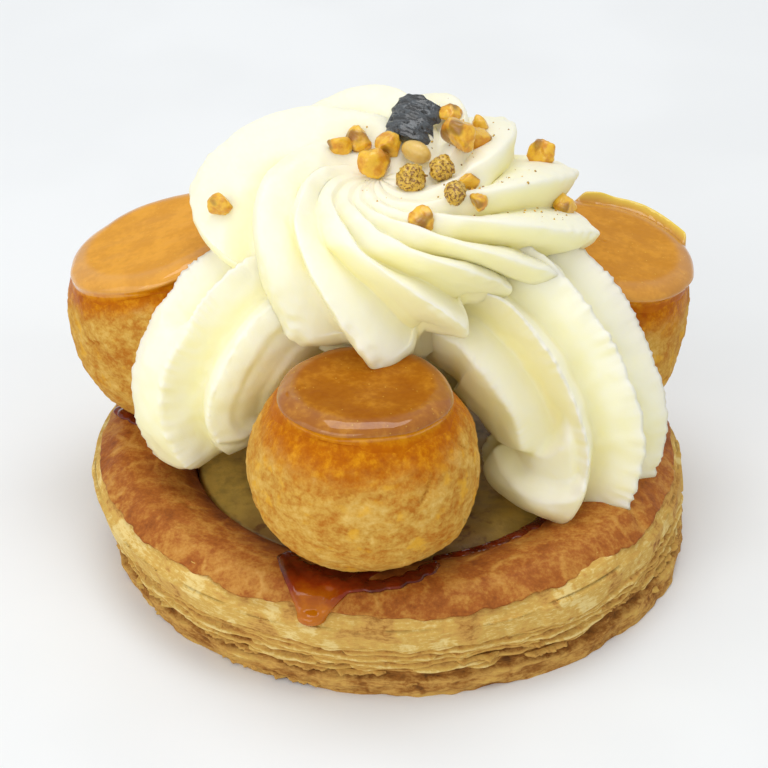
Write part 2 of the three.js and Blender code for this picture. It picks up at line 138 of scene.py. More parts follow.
# Each ring is radius, height, turn in degrees and groove depth
ROSETTE_RINGS = [
    (0.5, 13.6, 0, 0.1), (8, 15.2, 52, 0.7), (13.5, 16.6, 84, 2.4), (18.8, 16.2, 102, 4.2),
    (23.4, 12.8, 119, 5), (26.8, 7.2, 133, 5.4), (28.6, 2.2, 142, 6), (27, -0.6, 143, 4.6),
    (21, -3, 143, 0.6),
]
# Radius and height of the cream under the rosette
CORE_RINGS = [(20, -6), (15.5, -12), (14, -38), (0, -38)]
# Where along a petal its own reach and lift begin and are full
SPREAD = (0.35, 0.75)
PETAL_ROUNDNESS = 0.6
# Each petal: azimuth of the crease before it, reach, lift, and where its crest is across it
PETALS = [
    (15, 1.2, 0.8, 0.34), (42, 1.1, 2, 0.34), (74, 1.03, 1.5, 0.34), (110, 1.02, 0.5, 0.34),
    (150, 1.06, 4.8, 0.34), (212, 0.89, -1.4, 0.55), (261, 1, -1, 0.3), (285, 0.93, 1.5, 0.68),
    (307, 0.88, 2.7, 0.6), (332, 1.06, 0.4, 0.42), (351, 1.2, 0.6, 0.36),
]

# Each shell is a rope: the path of its middle, half its thickness there, the angle of its first ridge and
# its turn, where the valley lies from one ridge to the next, and lobes where ridges merge: middle and half
# width counted in ridges, where along the rope the lobe begins, and how deep it lies against the grooves
SHELLS = {
    "right": {
        "path": [(4, 0, 45), (18.8, -3.2, 43.4), (30.2, -9, 28.5), (27.5, -9.5, 12)],
        "radii": (10, 14.2, 13.9, 14.8), "start": 36, "turn": -36, "valley": 0.25,
        "lobes": [(5.5, 0.45, 0, -0.25), (5.9, 0.8, 0.62, 0.25), (6.2, 0.8, 0.74, -0.2)],
    },
    "left": {
        "path": [(-6, 0, 47), (-19.5, -4, 43.5), (-28.5, -6, 31.5), (-25.5, -6, 20.5)],
        "radii": (9, 12.6, 12.8, 12.6), "start": -38, "turn": 55, "valley": 0.75,
        "lobes": [
            (2.9, 0.85, 0, 0.04), (2.75, 0.2, 0.2, 0.14), (2.85, 1, 0.8, 0.6), (0.5, 0.45, 0.45, 0.12)],
    },
    "back": {
        "path": [(0, 6, 47), (-1, 20, 42), (-1, 30.5, 29), (0, 27, 14)],
        "radii": (9, 12.6, 12.8, 12), "start": 0, "turn": 12, "valley": 0.25, "lobes": [],
    },
}
SHELL_RIDGES = 9
# Share of a rope that rounds off at each end
SHELL_END = 0.13
# Lobes: names of their numbers, softness of their sides, length and bow of their beginning, and how soon
# they lose their scallops
LOBE = ("Middle", "Half width", "Begins", "Level")
LOBE_EDGE = 0.2
LOBE_STEP = 0.07
LOBE_BOW = 0.06
LOBE_SMOOTHING = 6.0

# Nuts on the rosette: plan place, size and kind
AMBER, GOLD, PALE = 0, 1, 2
NUTS = [
    (-25.5, -2.5, 3.2, AMBER), (-7.4, 4.6, 2.8, AMBER), (-4.6, 6.8, 3.8, AMBER), (-2.3, 1.4, 4, AMBER),
    (0.5, 5, 3.4, AMBER), (4.5, 3, 4.6, PALE), (3.8, -2.9, 4.8, GOLD), (8.4, -0.9, 4.4, GOLD),
    (10.3, -8.3, 3.8, GOLD), (12.3, -3.3, 2.6, AMBER), (13.7, -7.9, 2.4, AMBER), (5.3, -12.7, 3.4, AMBER),
    (10.1, 11.2, 3.2, AMBER), (11.2, 4.8, 4.6, AMBER), (14.8, 14, 2.8, AMBER), (14.3, 8, 3.4, AMBER),
    (25.1, 15, 3.8, AMBER), (28, 6.2, 3.4, AMBER),
]
NUT_SINK = 0.18
# Height from which the nuts are let down on the cream
NUT_DROP = 200
# Kinds of the shapes that nuts are drawn from, and the draw of the first
NUT_SHAPES = [AMBER, AMBER, AMBER, AMBER, GOLD, GOLD, PALE]
NUT_SEED = 11
CHIP_PLANES = 9

# Crumbs lie round a point on top of the cream where it faces up, so many to a square millimetre
CRUMB_MIDDLE = (12, 4, 66)
CRUMB_REACH = 15
CRUMB_SIZE = 0.34
CRUMBS_PER_SQUARE = 0.13
CRUMB_FACING = 0.35

# Dark shard: its place, its size before it is curled, how finely it is cut, and how it is turned
SHARD_PLACE = (3.9, 9.4, 69.7)
SHARD_SIZE = (7.4, 1.6, 7.8)
SHARD_CUTS = 47
SHARD_CURL_RADIUS = 4.4
SHARD_LEAN = -64
SHARD_ROLL = 14
SHARD_SWING = -10

# Half the width of the floor
FLOOR_HALF = 3000
# Each light: place, width and height, and the setting of its power
LIGHTS = {
    "overhead": ((0, 100, 820), (600, 500), "key_power"),
    "front": ((-360, -720, 440), (800, 500), "fill_power"),
    "left": ((-740, -320, 360), (600, 500), "side_power"),
}
CAMERA_AIM = (-0.5, 0, 26.5)
CAMERA_DISTANCE = 450
CAMERA_ELEVATION = 33
CAMERA_LENS = 130.4
CAMERA_SENSOR = 36
CAMERA_NEAR = 10


def linear(red, green, blue):
    """A display colour of 0 to 255 as the linear numbers that materials use."""
    def channel(value):
        share = value / 255
        return share / 12.92 if share <= 0.04045 else ((share + 0.055) / 1.055) ** 2.4
    return channel(red), channel(green), channel(blue)


def length(name, description, millimetres):
    """A setting for a size."""
    return bpy.props.FloatProperty(
        name=name, description=description, default=millimetres * MM, unit="LENGTH", precision=4)


def tint(name, description, red, green, blue):
    """A setting for a colour, given as it looks on a display."""
    return bpy.props.FloatVectorProperty(
        name=name, description=description, default=linear(red, green, blue), subtype="COLOR", min=0, max=1)


def ratio(name, description, value, low, high):
    """A setting for a plain number between two others."""
    return bpy.props.FloatProperty(name=name, description=description, default=value, min=low, max=high)


def watts(name, description, value):
    """A setting for the power of a light."""
    return bpy.props.FloatProperty(name=name, description=description, default=value, unit="POWER")


class CrustSettings(bpy.types.PropertyGroup):
    """Sizes and colours of the puff pastry base and the pastry cream in it"""
    rim_radius: length("Rim radius", "Widest radius, just under the glazed rim", 48)
    rim_height: length("Rim height", "Top of the rim over the floor", 17.4)
    crown_radius: length("Crown radius", "Radius of the highest line of the rim", 41.6)
    recess_radius: length("Recess radius", "Radius of the recess that holds the pastry cream", 31.8)
    side_top: length("Side top", "Height where the rounded rim meets the side", 12.8)
    glaze: tint("Glazed crust", "Main colour of the glazed rim", 164, 94, 36)
    glaze_gold: tint("Golden crust", "Lighter patches of the rim", 190, 132, 58)
    glaze_light: tint("Light crust", "Fine veins of the rim", 206, 156, 82)
    glaze_dark: tint("Dark crust", "Darkest patches of the rim", 116, 58, 22)
    flour: tint("Flour", "Palest patches of the side", 228, 202, 132)
    pale: tint("Pale band", "Unglazed dough under the rim", 209, 171, 87)
    leaf: tint("Leaves", "Baked leaf edges", 200, 154, 80)
    toast: tint("Toasted leaves", "Brown of the lowest leaves", 154, 102, 44)
    # Painted shade: the dark colour of the gaps between leaves and of the hollow
    hollow_shade: tint("Hollows", "Deep gaps between the leaves", 100, 62, 26)
    custard: tint("Pastry cream", "Colour of the filling", 218, 184, 90)
    # Painted shade and soaked caramel: the dark brown of the cream near the front bun's foot
    soaked_and_shaded: tint("Soaked cream", "Pastry cream that caramel ran into", 104, 68, 30)


class BunSettings(bpy.types.PropertyGroup):
    """Colours and relief of the choux buns and their caramel"""
    skin: tint("Choux skin", "Main colour of the buns", 206, 158, 70)
    skin_light: tint("Light skin", "Lighter mottling", 224, 186, 104)
    skin_dark: tint("Dark skin", "Darker mottling and cracks", 182, 114, 38)
    skin_yellow: tint("Yellow spots", "Soft yellow spots on the skin", 226, 170, 52)
    film: tint("Caramel film", "Caramel that ran down from the discs", 186, 104, 4)
    film_dark: tint("Dark film", "Where the film is thick", 166, 80, 3)
    film_light: tint("Light film", "Where the film is thin", 218, 146, 18)
    film_run: length("Film run", "How far the film runs down from a disc", 5)
    caramel: tint("Caramel", "Colour of the discs", 164, 98, 14)
    caramel_dark: tint("Dark caramel", "Darker clouds in the discs", 150, 82, 8)
    caramel_light: tint("Light caramel", "Lighter clouds in the discs", 194, 130, 34)
    # Painted sheen and light through the caramel: the lighter colour of the discs behind
    caramel_sheen: tint("Pale caramel", "The paler discs behind", 228, 163, 60)
    caramel_thin: tint("Thin caramel", "Where light passes through a thin edge", 242, 214, 84)
    pool: tint("Caramel pools", "Thick caramel at the foot of the buns", 66, 16, 8)
    run: tint("Caramel run", "Caramel where it ran thin over the rim", 138, 46, 8)
    pebble: length("Wrinkle relief", "Depth of the fine wrinkles of the skin", 0.3)
    lump: length("Lump relief", "Depth of the broad unevenness", 0.55)


class CreamSettings(bpy.types.PropertyGroup):
    """Colour and relief of the piped cream"""
    cream: tint("Cream", "Colour of the cream", 250, 246, 221)
    # Painted shade: the yellow of creases and of faces turned down or in, also used for random yellow
    # patches
    crease: tint("Creases", "Colour deep in the creases", 248, 237, 146)
    serration: length("Serration", "Depth of the scallops along the crests", 0.9)
    unevenness: length("Unevenness", "Depth of the broad waves", 0.35)
    groove: ratio("Groove", "Depth of a shell's grooves against its radius", 0.36, 0, 1)
    width: ratio("Width", "Width of a shell against its thickness", 1.05, 0.5, 2)


class ToppingSettings(bpy.types.PropertyGroup):
    """Colours of the nuts, the crumbs and the dark shard"""
    amber: tint("Caramelised nuts", "Amber of the coated pieces", 238, 188, 50)
    amber_dark: tint("Dark amber", "Deeper amber of the coated pieces", 214, 144, 22)
    amber_brown: tint("Brown amber", "Burnt spots and the nut under the gold dust", 128, 82, 20)
    gold: tint("Gold dust", "Dust on the rough pieces", 220, 180, 66)
    pale: tint("Pale nut", "Plain nut", 222, 186, 98)
    shard: tint("Shard", "Blue-black outside of the shard", 62, 70, 76)
    shard_inside: tint("Shard inside", "Brown inside of the shard", 146, 126, 72)
    crumbs: bpy.props.IntProperty(name="Crumb seed", description="Draw of the fine crumbs", default=5)


class StageSettings(bpy.types.PropertyGroup):
    """Floor and light"""
    floor: tint("Floor", "Pale floor", 238, 241, 243)
    key_power: watts("Key light", "Power of the overhead light", 2.6)
    fill_power: watts("Fill light", "Power of the front light", 2.25)
    side_power: watts("Side light", "Power of the light from the left", 0.75)
    sky: ratio("Sky", "Strength of the light from all sides", 0.63, 0, 10)


class PastrySettings(bpy.types.PropertyGroup):
    """Everything that a user may change"""
    crust: bpy.props.PointerProperty(type=CrustSettings, name="Crust")
    buns: bpy.props.PointerProperty(type=BunSettings, name="Buns")
    cream: bpy.props.PointerProperty(type=CreamSettings, name="Cream")
    toppings: bpy.props.PointerProperty(type=ToppingSettings, name="Toppings")
    stage: bpy.props.PointerProperty(type=StageSettings, name="Stage")


# Noise and curves

def hashed(cells, seed):
    """A repeatable number from 0 to 1 for each cell of a grid of whole numbers."""
    mask = 0xFFFFFFFF
    x, y, z = (cells[..., i].astype(np.int64) for i in range(3))
    mixed = (x * 374761393 + y * 668265263 + z * 974634599 + seed * 362437) & mask
    mixed = ((mixed ^ (mixed >> 13)) * 1274126177) & mask
    return (mixed ^ (mixed >> 16)) / mask


def bumps(points, size, seed):
    """Smooth unevenness from -1 to 1 whose lumps are about the given size."""
    scaled = points / size
    cell = np.floor(scaled)
    part = scaled - cell
    part = part * part * (3 - 2 * part)
    total = np.zeros(points.shape[:-1])
    for corner in np.ndindex(2, 2, 2):
        weight = np.prod(np.where(np.array(corner) > 0, part, 1 - part), axis=-1)
        total += weight * hashed(cell + np.array(corner), seed)
    return 2 * total - 1


def rough(points, size, seed):
    """Unevenness with two layers of finer bumps on the broad ones."""
    octaves = 3
    layers = [bumps(points, size / 2 ** i, seed + i) / 2 ** i for i in range(octaves)]
    return sum(layers) / (2 - 2 ** (1 - octaves))


def piled(points, *layers):
    """Sum of bumps, each given as its depth, its size and its seed."""
    return sum(depth * bumps(points, size, seed) for depth, size, seed in layers)


def bent(points, depth, size, seed, stretch=1):
    """Points pushed about, so that a pattern drawn on them runs less straight."""
    return points * stretch + depth * bumps(points, size, seed)[..., None]


def cell_edges(points, size, seed):
    """Distances to the lines between irregular cells and to their middles, as shares of their size."""
    scaled = points / size
    cell = np.floor(scaled)
    nearest = np.full(points.shape[:-1], 9.0)
    second = nearest.copy()
    for step in np.ndindex(3, 3, 3):
        other = cell + np.array(step) - 1
        centre = other + np.stack([hashed(other, seed + i) for i in range(3)], axis=-1)
        distance = np.linalg.norm(scaled - centre, axis=-1)
        second = np.minimum(second, np.maximum(nearest, distance))
        nearest = np.minimum(nearest, distance)
    return second - nearest, nearest


def ease(value, low, high):
    """A smooth step from 0 at low to 1 at high."""
    share = np.clip((value - low) / (high - low), 0, 1)
    return share * share * (3 - 2 * share)


def ripple(azimuth, waves, seed):
    """A wave from -1 to 1 that closes on itself once round."""
    return (2 * np.sin(waves * azimuth + seed) + np.sin((2 * waves + 1) * azimuth + 3 * seed)) / 3


def through(rings, along):
    """Smooth curve through rings of numbers, at places from 0 to 1."""
    rings = np.asarray(rings, float)
    last = len(rings) - 1
    place = np.clip(along, 0, 1) * last
    first = np.minimum(place.astype(int), last - 1)
    part = (place - first)[:, None]
    padded = np.vstack([2 * rings[0] - rings[1], rings, 2 * rings[-1] - rings[-2]])
    before, start, end, after = (padded[first + i] for i in range(4))
    return 0.5 * (
        2 * start + (end - before) * part
        + (2 * before - 5 * start + 4 * end - after) * part ** 2
        + (3 * start - before - 3 * end + after) * part ** 3)


def drawn(path, count):
    """Points along a smooth path that keeps clear of overshooting between uneven steps."""
    path = np.asarray(path, float)
    padded = np.vstack([2 * path[0] - path[1], path, 2 * path[-1] - path[-2]])
    points = []
    for along in np.linspace(0, len(path) - 1, count):
        first = min(int(along), len(path) - 2)
        part = along - first
        p0, p1, p2, p3 = padded[first:first + 4]
        steps = [max(np.linalg.norm(b - a) ** 0.5, 1e-4) for a, b in ((p0, p1), (p1, p2), (p2, p3))]
        leave = ((p1 - p0) / steps[0] - (p2 - p0) / (steps[0] + steps[1]) + (p2 - p1) / steps[1]) * steps[1]
        arrive = ((p2 - p1) / steps[1] - (p3 - p1) / (steps[1] + steps[2]) + (p3 - p2) / steps[2]) * steps[1]
        points.append(
            p1 + leave * part + (3 * (p2 - p1) - 2 * leave - arrive) * part ** 2
            + (2 * (p1 - p2) + leave + arrive) * part ** 3)
    return np.array(points)


def leaned(points, lean, towards):
    """Points turned so that +Z leans by some degrees towards an azimuth."""
    angle = math.radians(lean)
    azimuth = math.radians(towards)
    axis = np.array([-math.sin(azimuth), math.cos(azimuth), 0])
    across = np.cross(np.broadcast_to(axis, points.shape), points)
    along = (points @ axis)[..., None] * axis
    return points * math.cos(angle) + across * math.sin(angle) + along * (1 - math.cos(angle))


def polar(radius, azimuth, height):
    """Points from radius, azimuth and height."""
    return np.stack(np.broadcast_arrays(radius * np.cos(azimuth), radius * np.sin(azimuth), height), axis=-1)


def once_round(columns):
    """Azimuths of columns that go once round, in radians."""
    return TURN * np.arange(columns) / columns


# Meshes and pieces

def skin_faces(rows, columns):
    """Faces of a closed skin: a point, rings of columns, and a point."""
    faces = []
    ring = np.arange(columns)
    following = (ring + 1) % columns
    for i in range(rows - 3):
        top = 1 + i * columns
        low = top + columns
        faces.append(np.stack([top + ring, low + ring, low + following, top + following], axis=-1))
    quads = np.concatenate(faces).tolist()
    last = 1 + (rows - 3) * columns
    end = last + columns
    start_fan = np.stack([np.zeros(columns, int), 1 + ring, 1 + following], axis=-1).tolist()
    end_fan = np.stack([np.full(columns, end), last + following, last + ring], axis=-1).tolist()
    return start_fan + quads + end_fan


def unrolled(grid):
    """A grid whose first and last rows are single points, as a list for skin_faces."""
    return np.concatenate([grid[:1, 0], grid[1:-1].reshape(-1, *grid.shape[2:]), grid[-1:, 0]])


def new_mesh(name, points, edges=(), faces=(), scale=MM):
    """A mesh from points, which are in millimetres if no other scale is given."""
    mesh = bpy.data.meshes.new(name)
    mesh.from_pydata((np.asarray(points) * scale).tolist(), edges, faces)
    return mesh


def paint(mesh, values):
    """Stores numbers on a mesh, one per point, under each name."""
    for key, numbers in values.items():
        layer = mesh.attributes.new(key, "FLOAT", "POINT")
        layer.data.foreach_set("value", np.asarray(numbers, np.float32))


def taken(work):
    """Points and faces of a mesh under work, which ends here."""
    work.verts.index_update()
    points = np.array([vertex.co for vertex in work.verts])
    faces = [[vertex.index for vertex in face.verts] for face in work.faces]
    work.free()
    return points, faces


def ball(subdivisions):
    """Points and faces of a sphere of radius 1."""
    work = bmesh.new()
    bmesh.ops.create_icosphere(work, subdivisions=subdivisions, radius=1)
    return taken(work)


def add_object(name, mesh):
    """A mesh placed in the scene at the origin."""
    thing = bpy.data.objects.new(name, mesh)
    bpy.context.scene.collection.objects.link(thing)
    return thing


def skin_object(name, grid, values):
    """A closed smooth skin from a grid of points in millimetres, with a number per point for each name."""
    shape = grid.shape[:2]
    mesh = new_mesh(name, unrolled(grid), faces=skin_faces(*shape))
    paint(mesh, {key: unrolled(np.broadcast_to(numbers, shape)) for key, numbers in values.items()})
    finish_mesh(mesh)
    return add_object(name, mesh)


def finish_mesh(mesh):
    """Faces turned outwards, doubles merged and shading smooth."""
    work = bmesh.new()
    work.from_mesh(mesh)
    bmesh.ops.remove_doubles(work, verts=work.verts, dist=1e-7)
    bmesh.ops.recalc_face_normals(work, faces=work.faces)
    work.to_mesh(mesh)
    work.free()
    mesh.shade_smooth()


def outwards(grid):
    """Unit normals of a grid of points that closes round its columns."""
    along = np.gradient(grid, axis=0)
    around = np.roll(grid, -1, axis=1) - np.roll(grid, 1, axis=1)
    normal = np.cross(around, along)
    size = np.linalg.norm(normal, axis=-1, keepdims=True)
    return -normal / np.maximum(size, 1e-9)


def settled(thing, material, slot, *nodes):
    """Gives a finished piece its material and its body, and hides the nodes it stands for; the slot is not
    used.
    """
    thing.data.materials.clear()
    thing.data.materials.append(material)
    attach(thing, BODY)
    if nodes:
        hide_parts(*nodes)


def baked(thing):
    """Turns the modifiers of an object into plain mesh."""
    graph = bpy.context.evaluated_depsgraph_get()
    mesh = bpy.data.meshes.new_from_object(thing.evaluated_get(graph))
    thing.modifiers.clear()
    thing.data = mesh


# Node trees

class Nodes:
    """A node tree with short ways to add to it."""

    NUMBERS = ("DOT_PRODUCT", "LENGTH", "DISTANCE")

    def __init__(self, tree):
        self.tree = tree

    def feed(self, socket, value):
        """Sets an input, or links it to another node's output."""
        if isinstance(value, bpy.types.NodeSocket):
            self.tree.links.new(value, socket)
        else:
            socket.default_value = value

    def add(self, kind, inputs=None, **settings):
        """A node with its settings, whose inputs take values or other nodes' outputs."""
        node = self.tree.nodes.new(kind)
        for key, value in settings.items():
            setattr(node, key, value)
        for key, value in (inputs or {}).items():
            self.feed(node.inputs[key], value)
        return node

    def math(self, operation, *values):
        """Output of a Math node."""
        return self.add("ShaderNodeMath", dict(enumerate(values)), operation=operation).outputs[0]

    def times(self, total, *others):
        """Product of numbers."""
        for other in others:
            total = self.math("MULTIPLY", total, other)
        return total

    def plus(self, total, *others):
        """Sum of numbers."""
        for other in others:
            total = self.math("ADD", total, other)
        return total

    def minus(self, first, second):
        """Difference of two numbers."""
        return self.math("SUBTRACT", first, second)

    def vector(self, operation, *values):
        """Output of a Vector Math node."""
        node = self.add("ShaderNodeVectorMath", dict(enumerate(values)), operation=operation)
        return node.outputs["Value" if operation in self.NUMBERS else "Vector"]

    def scaled(self, vector, scale):
        """A vector times a number."""
        inputs = {"Vector": vector, "Scale": scale}
        return self.add("ShaderNodeVectorMath", inputs, operation="SCALE").outputs["Vector"]

    def parts(self, vector):
        """The three numbers of a vector."""
        return self.add("ShaderNodeSeparateXYZ", {0: vector}).outputs

    def joined(self, x=0.0, y=0.0, z=0.0):
        """A vector from three numbers."""
        return self.add("ShaderNodeCombineXYZ", {0: x, 1: y, 2: z}).outputs[0]

    def between(self, value, low, high, start=0.0, end=1.0):
        """A value spread smoothly from one range to another."""
        inputs = {"Value": value, "From Min": low, "From Max": high, "To Min": start, "To Max": end}
        return self.add("ShaderNodeMapRange", inputs, interpolation_type="SMOOTHSTEP").outputs[0]


class Material(Nodes):
    """A material with a Principled shader and a few ways to add detail."""

    def __init__(self, name, **constants):
        self.data = bpy.data.materials.new(name)
        self.data.use_nodes = True
        super().__init__(self.data.node_tree)
        self.shader = self.tree.nodes["Principled BSDF"]
        self.place = self.add("ShaderNodeTexCoord").outputs["Object"]
        for key, value in constants.items():
            self.shader.inputs[key.replace("_", " ")].default_value = value

    def noise(self, size, detail=3, roughness=0.55, stretch=(1, 1, 1), distortion=0):
        """Cloudy noise from 0 to 1 with features of a size in millimetres."""
        place = self.add("ShaderNodeMapping", {"Vector": self.place, "Scale": stretch}).outputs[0]
        inputs = {"Vector": place, "Scale": 1 / (size * MM), "Detail": detail, "Roughness": roughness,
                  "Distortion": distortion}
        return self.add("ShaderNodeTexNoise", inputs).outputs[0]

    def cells(self, size, feature="F1", warp=0):
        """Distance pattern of irregular cells of a size in millimetres, bent by a warp in millimetres."""
        bend = self.add("ShaderNodeTexNoise", {"Vector": self.place, "Scale": 1 / (2 * size * MM)})
        centred = self.vector("SUBTRACT", bend.outputs["Color"], (0.5, 0.5, 0.5))
        place = self.vector("ADD", self.place, self.scaled(centred, 2 * warp * MM))
        inputs = {"Vector": place, "Scale": 1 / (size * MM)}
        return self.add("ShaderNodeTexVoronoi", inputs, feature=feature).outputs["Distance"]

    def away(self, place):
        """Distance to a place in millimetres, in metres."""
        return self.vector("DISTANCE", self.place, tuple(value * MM for value in place))

    def painted(self, name, share=1):
        """A number painted on the mesh, or a share of it."""
        number = self.add("ShaderNodeAttribute", attribute_name=name).outputs["Fac"]
        return number if share == 1 else self.times(number, share)

    def mix(self, share, first, second):
        """A colour between two others."""
        def colour(value):
            return value if isinstance(value, bpy.types.NodeSocket) else (*value, 1)
        inputs = {0: share, 6: colour(first), 7: colour(second)}
        return self.add("ShaderNodeMix", inputs, data_type="RGBA").outputs[2]

    def ramp(self, value, *stops):
        """A colour from stops of place and colour."""
        node = self.add("ShaderNodeValToRGB", {"Fac": value})
        elements = node.color_ramp.elements
        elements.remove(elements[1])
        elements[0].position = stops[0][0]
        elements[0].color = (*stops[0][1], 1)
        for place, colour in stops[1:]:
            elements.new(place).color = (*colour, 1)
        return node.outputs["Color"]

    def set(self, name, value):
        """Links a value to an input of the shader."""
        self.tree.links.new(value, self.shader.inputs[name])

    def relief(self, height, depth):
        """Bump of a depth in millimetres, on top of those before it."""
        inputs = {"Height": height, "Distance": depth * MM}
        if self.shader.inputs["Normal"].links:
            inputs["Normal"] = self.shader.inputs["Normal"].links[0].from_socket
        self.set("Normal", self.add("ShaderNodeBump", inputs).outputs[0])


class Growth(Nodes):
    """A Geometry Nodes tree with named inputs, run once on an object."""

    KINDS = {int: "NodeSocketInt", float: "NodeSocketFloat", tuple: "NodeSocketVector"}

    def __init__(self, name, **inputs):
        super().__init__(bpy.data.node_groups.new(name, "GeometryNodeTree"))
        self.values = dict(inputs)
        self.tree.interface.new_socket("Geometry", in_out="INPUT", socket_type="NodeSocketGeometry")
        for key, value in inputs.items():
            self.tree.interface.new_socket(key, in_out="INPUT", socket_type=self.KINDS[type(value)])
        self.tree.interface.new_socket("Geometry", in_out="OUTPUT", socket_type="NodeSocketGeometry")
        self.start = self.tree.nodes.new("NodeGroupInput")
        self.end = self.tree.nodes.new("NodeGroupOutput")

    def given(self, name):
        """Output of a named input."""
        return self.start.outputs[name]

    def place(self):
        """Where each point is."""
        return self.add("GeometryNodeInputPosition").outputs[0]

    def named(self, name):
        """A number stored on the geometry."""
        node = self.add("GeometryNodeInputNamedAttribute", {"Name": name}, data_type="FLOAT")
        return node.outputs["Attribute"]

    def stored(self, geometry, name, value, domain="POINT"):
        """Geometry with a number stored on it."""
        inputs = {"Geometry": geometry, "Name": name, "Value": value}
        node = self.add("GeometryNodeStoreNamedAttribute", inputs, data_type="FLOAT", domain=domain)
        return node.outputs[0]

    def moved(self, geometry, place):
        """Geometry whose points are set to a place."""
        return self.add("GeometryNodeSetPosition", {"Geometry": geometry, "Position": place}).outputs[0]

    def draw(self, low, high, seed):
        """A random number, or a vector of three, for each element."""
        kind = "FLOAT_VECTOR" if isinstance(high, tuple) else "FLOAT"
        node = self.add("FunctionNodeRandomValue", data_type=kind)
        inputs = {"Min": low, "Max": high, "Seed": seed}
        for socket in node.inputs:
            if socket.enabled and socket.name in inputs:
                self.feed(socket, inputs[socket.name])
        return next(socket for socket in node.outputs if socket.enabled)

    def any_turn(self, seed):
        """A random rotation for each element."""
        return self.draw((0, 0, 0), (TURN, TURN, TURN), seed)

    def noise(self, vector, size, detail=2.0):
        """Cloudy noise from -1 to 1 with features of a size in millimetres."""
        inputs = {"Vector": vector, "Scale": 1 / (size * MM), "Detail": detail}
        raw = self.add("ShaderNodeTexNoise", inputs).outputs[0]
        return self.math("MULTIPLY_ADD", raw, 2.0, -1.0)

    def run(self, thing, geometry, material):
        """Ends the tree, runs it on an object and leaves the result as its plain mesh."""
        whole = self.add("GeometryNodeRealizeInstances", {"Geometry": geometry}).outputs[0]
        dressed = self.add("GeometryNodeSetMaterial", {"Geometry": whole, "Material": material}).outputs[0]
        self.tree.links.new(dressed, self.end.inputs[0])
        modifier = thing.modifiers.new(self.tree.name, "NODES")
        modifier.node_group = self.tree
        identifiers = {item.name: item.identifier for item in self.tree.interface.items_tree
                       if item.in_out == "INPUT"}
        for key, value in self.values.items():
            modifier[identifiers[key]] = value
        baked(thing)
        finish_mesh(thing.data)
        return thing


# Puff pastry base

def rim_top(crust, radius):
    """Height of the rim's top at a radius in millimetres."""
    crown = crust.crown_radius / MM
    out = np.clip((radius - crown) / (crust.rim_radius / MM - crown), 0, 1)
    inner = np.clip((crown - radius) / (crown - crust.recess_radius / MM), 0, 1)
    outer_fall = (crust.rim_height - crust.side_top) / MM
    fall = np.where(
        radius > crown, outer_fall * out ** RIM_ROUNDNESS, RIM_INNER_FALL * inner ** RIM_ROUNDNESS)
    return crust.rim_height / MM - fall


def rim_out(crust, height):
    """How far out the rounded rim is at a height, from 0 at its crown to 1 at its widest."""
    top = crust.rim_height / MM
    return ((top - height).clip(0) / (top - crust.side_top / MM)) ** (1 / RIM_ROUNDNESS)


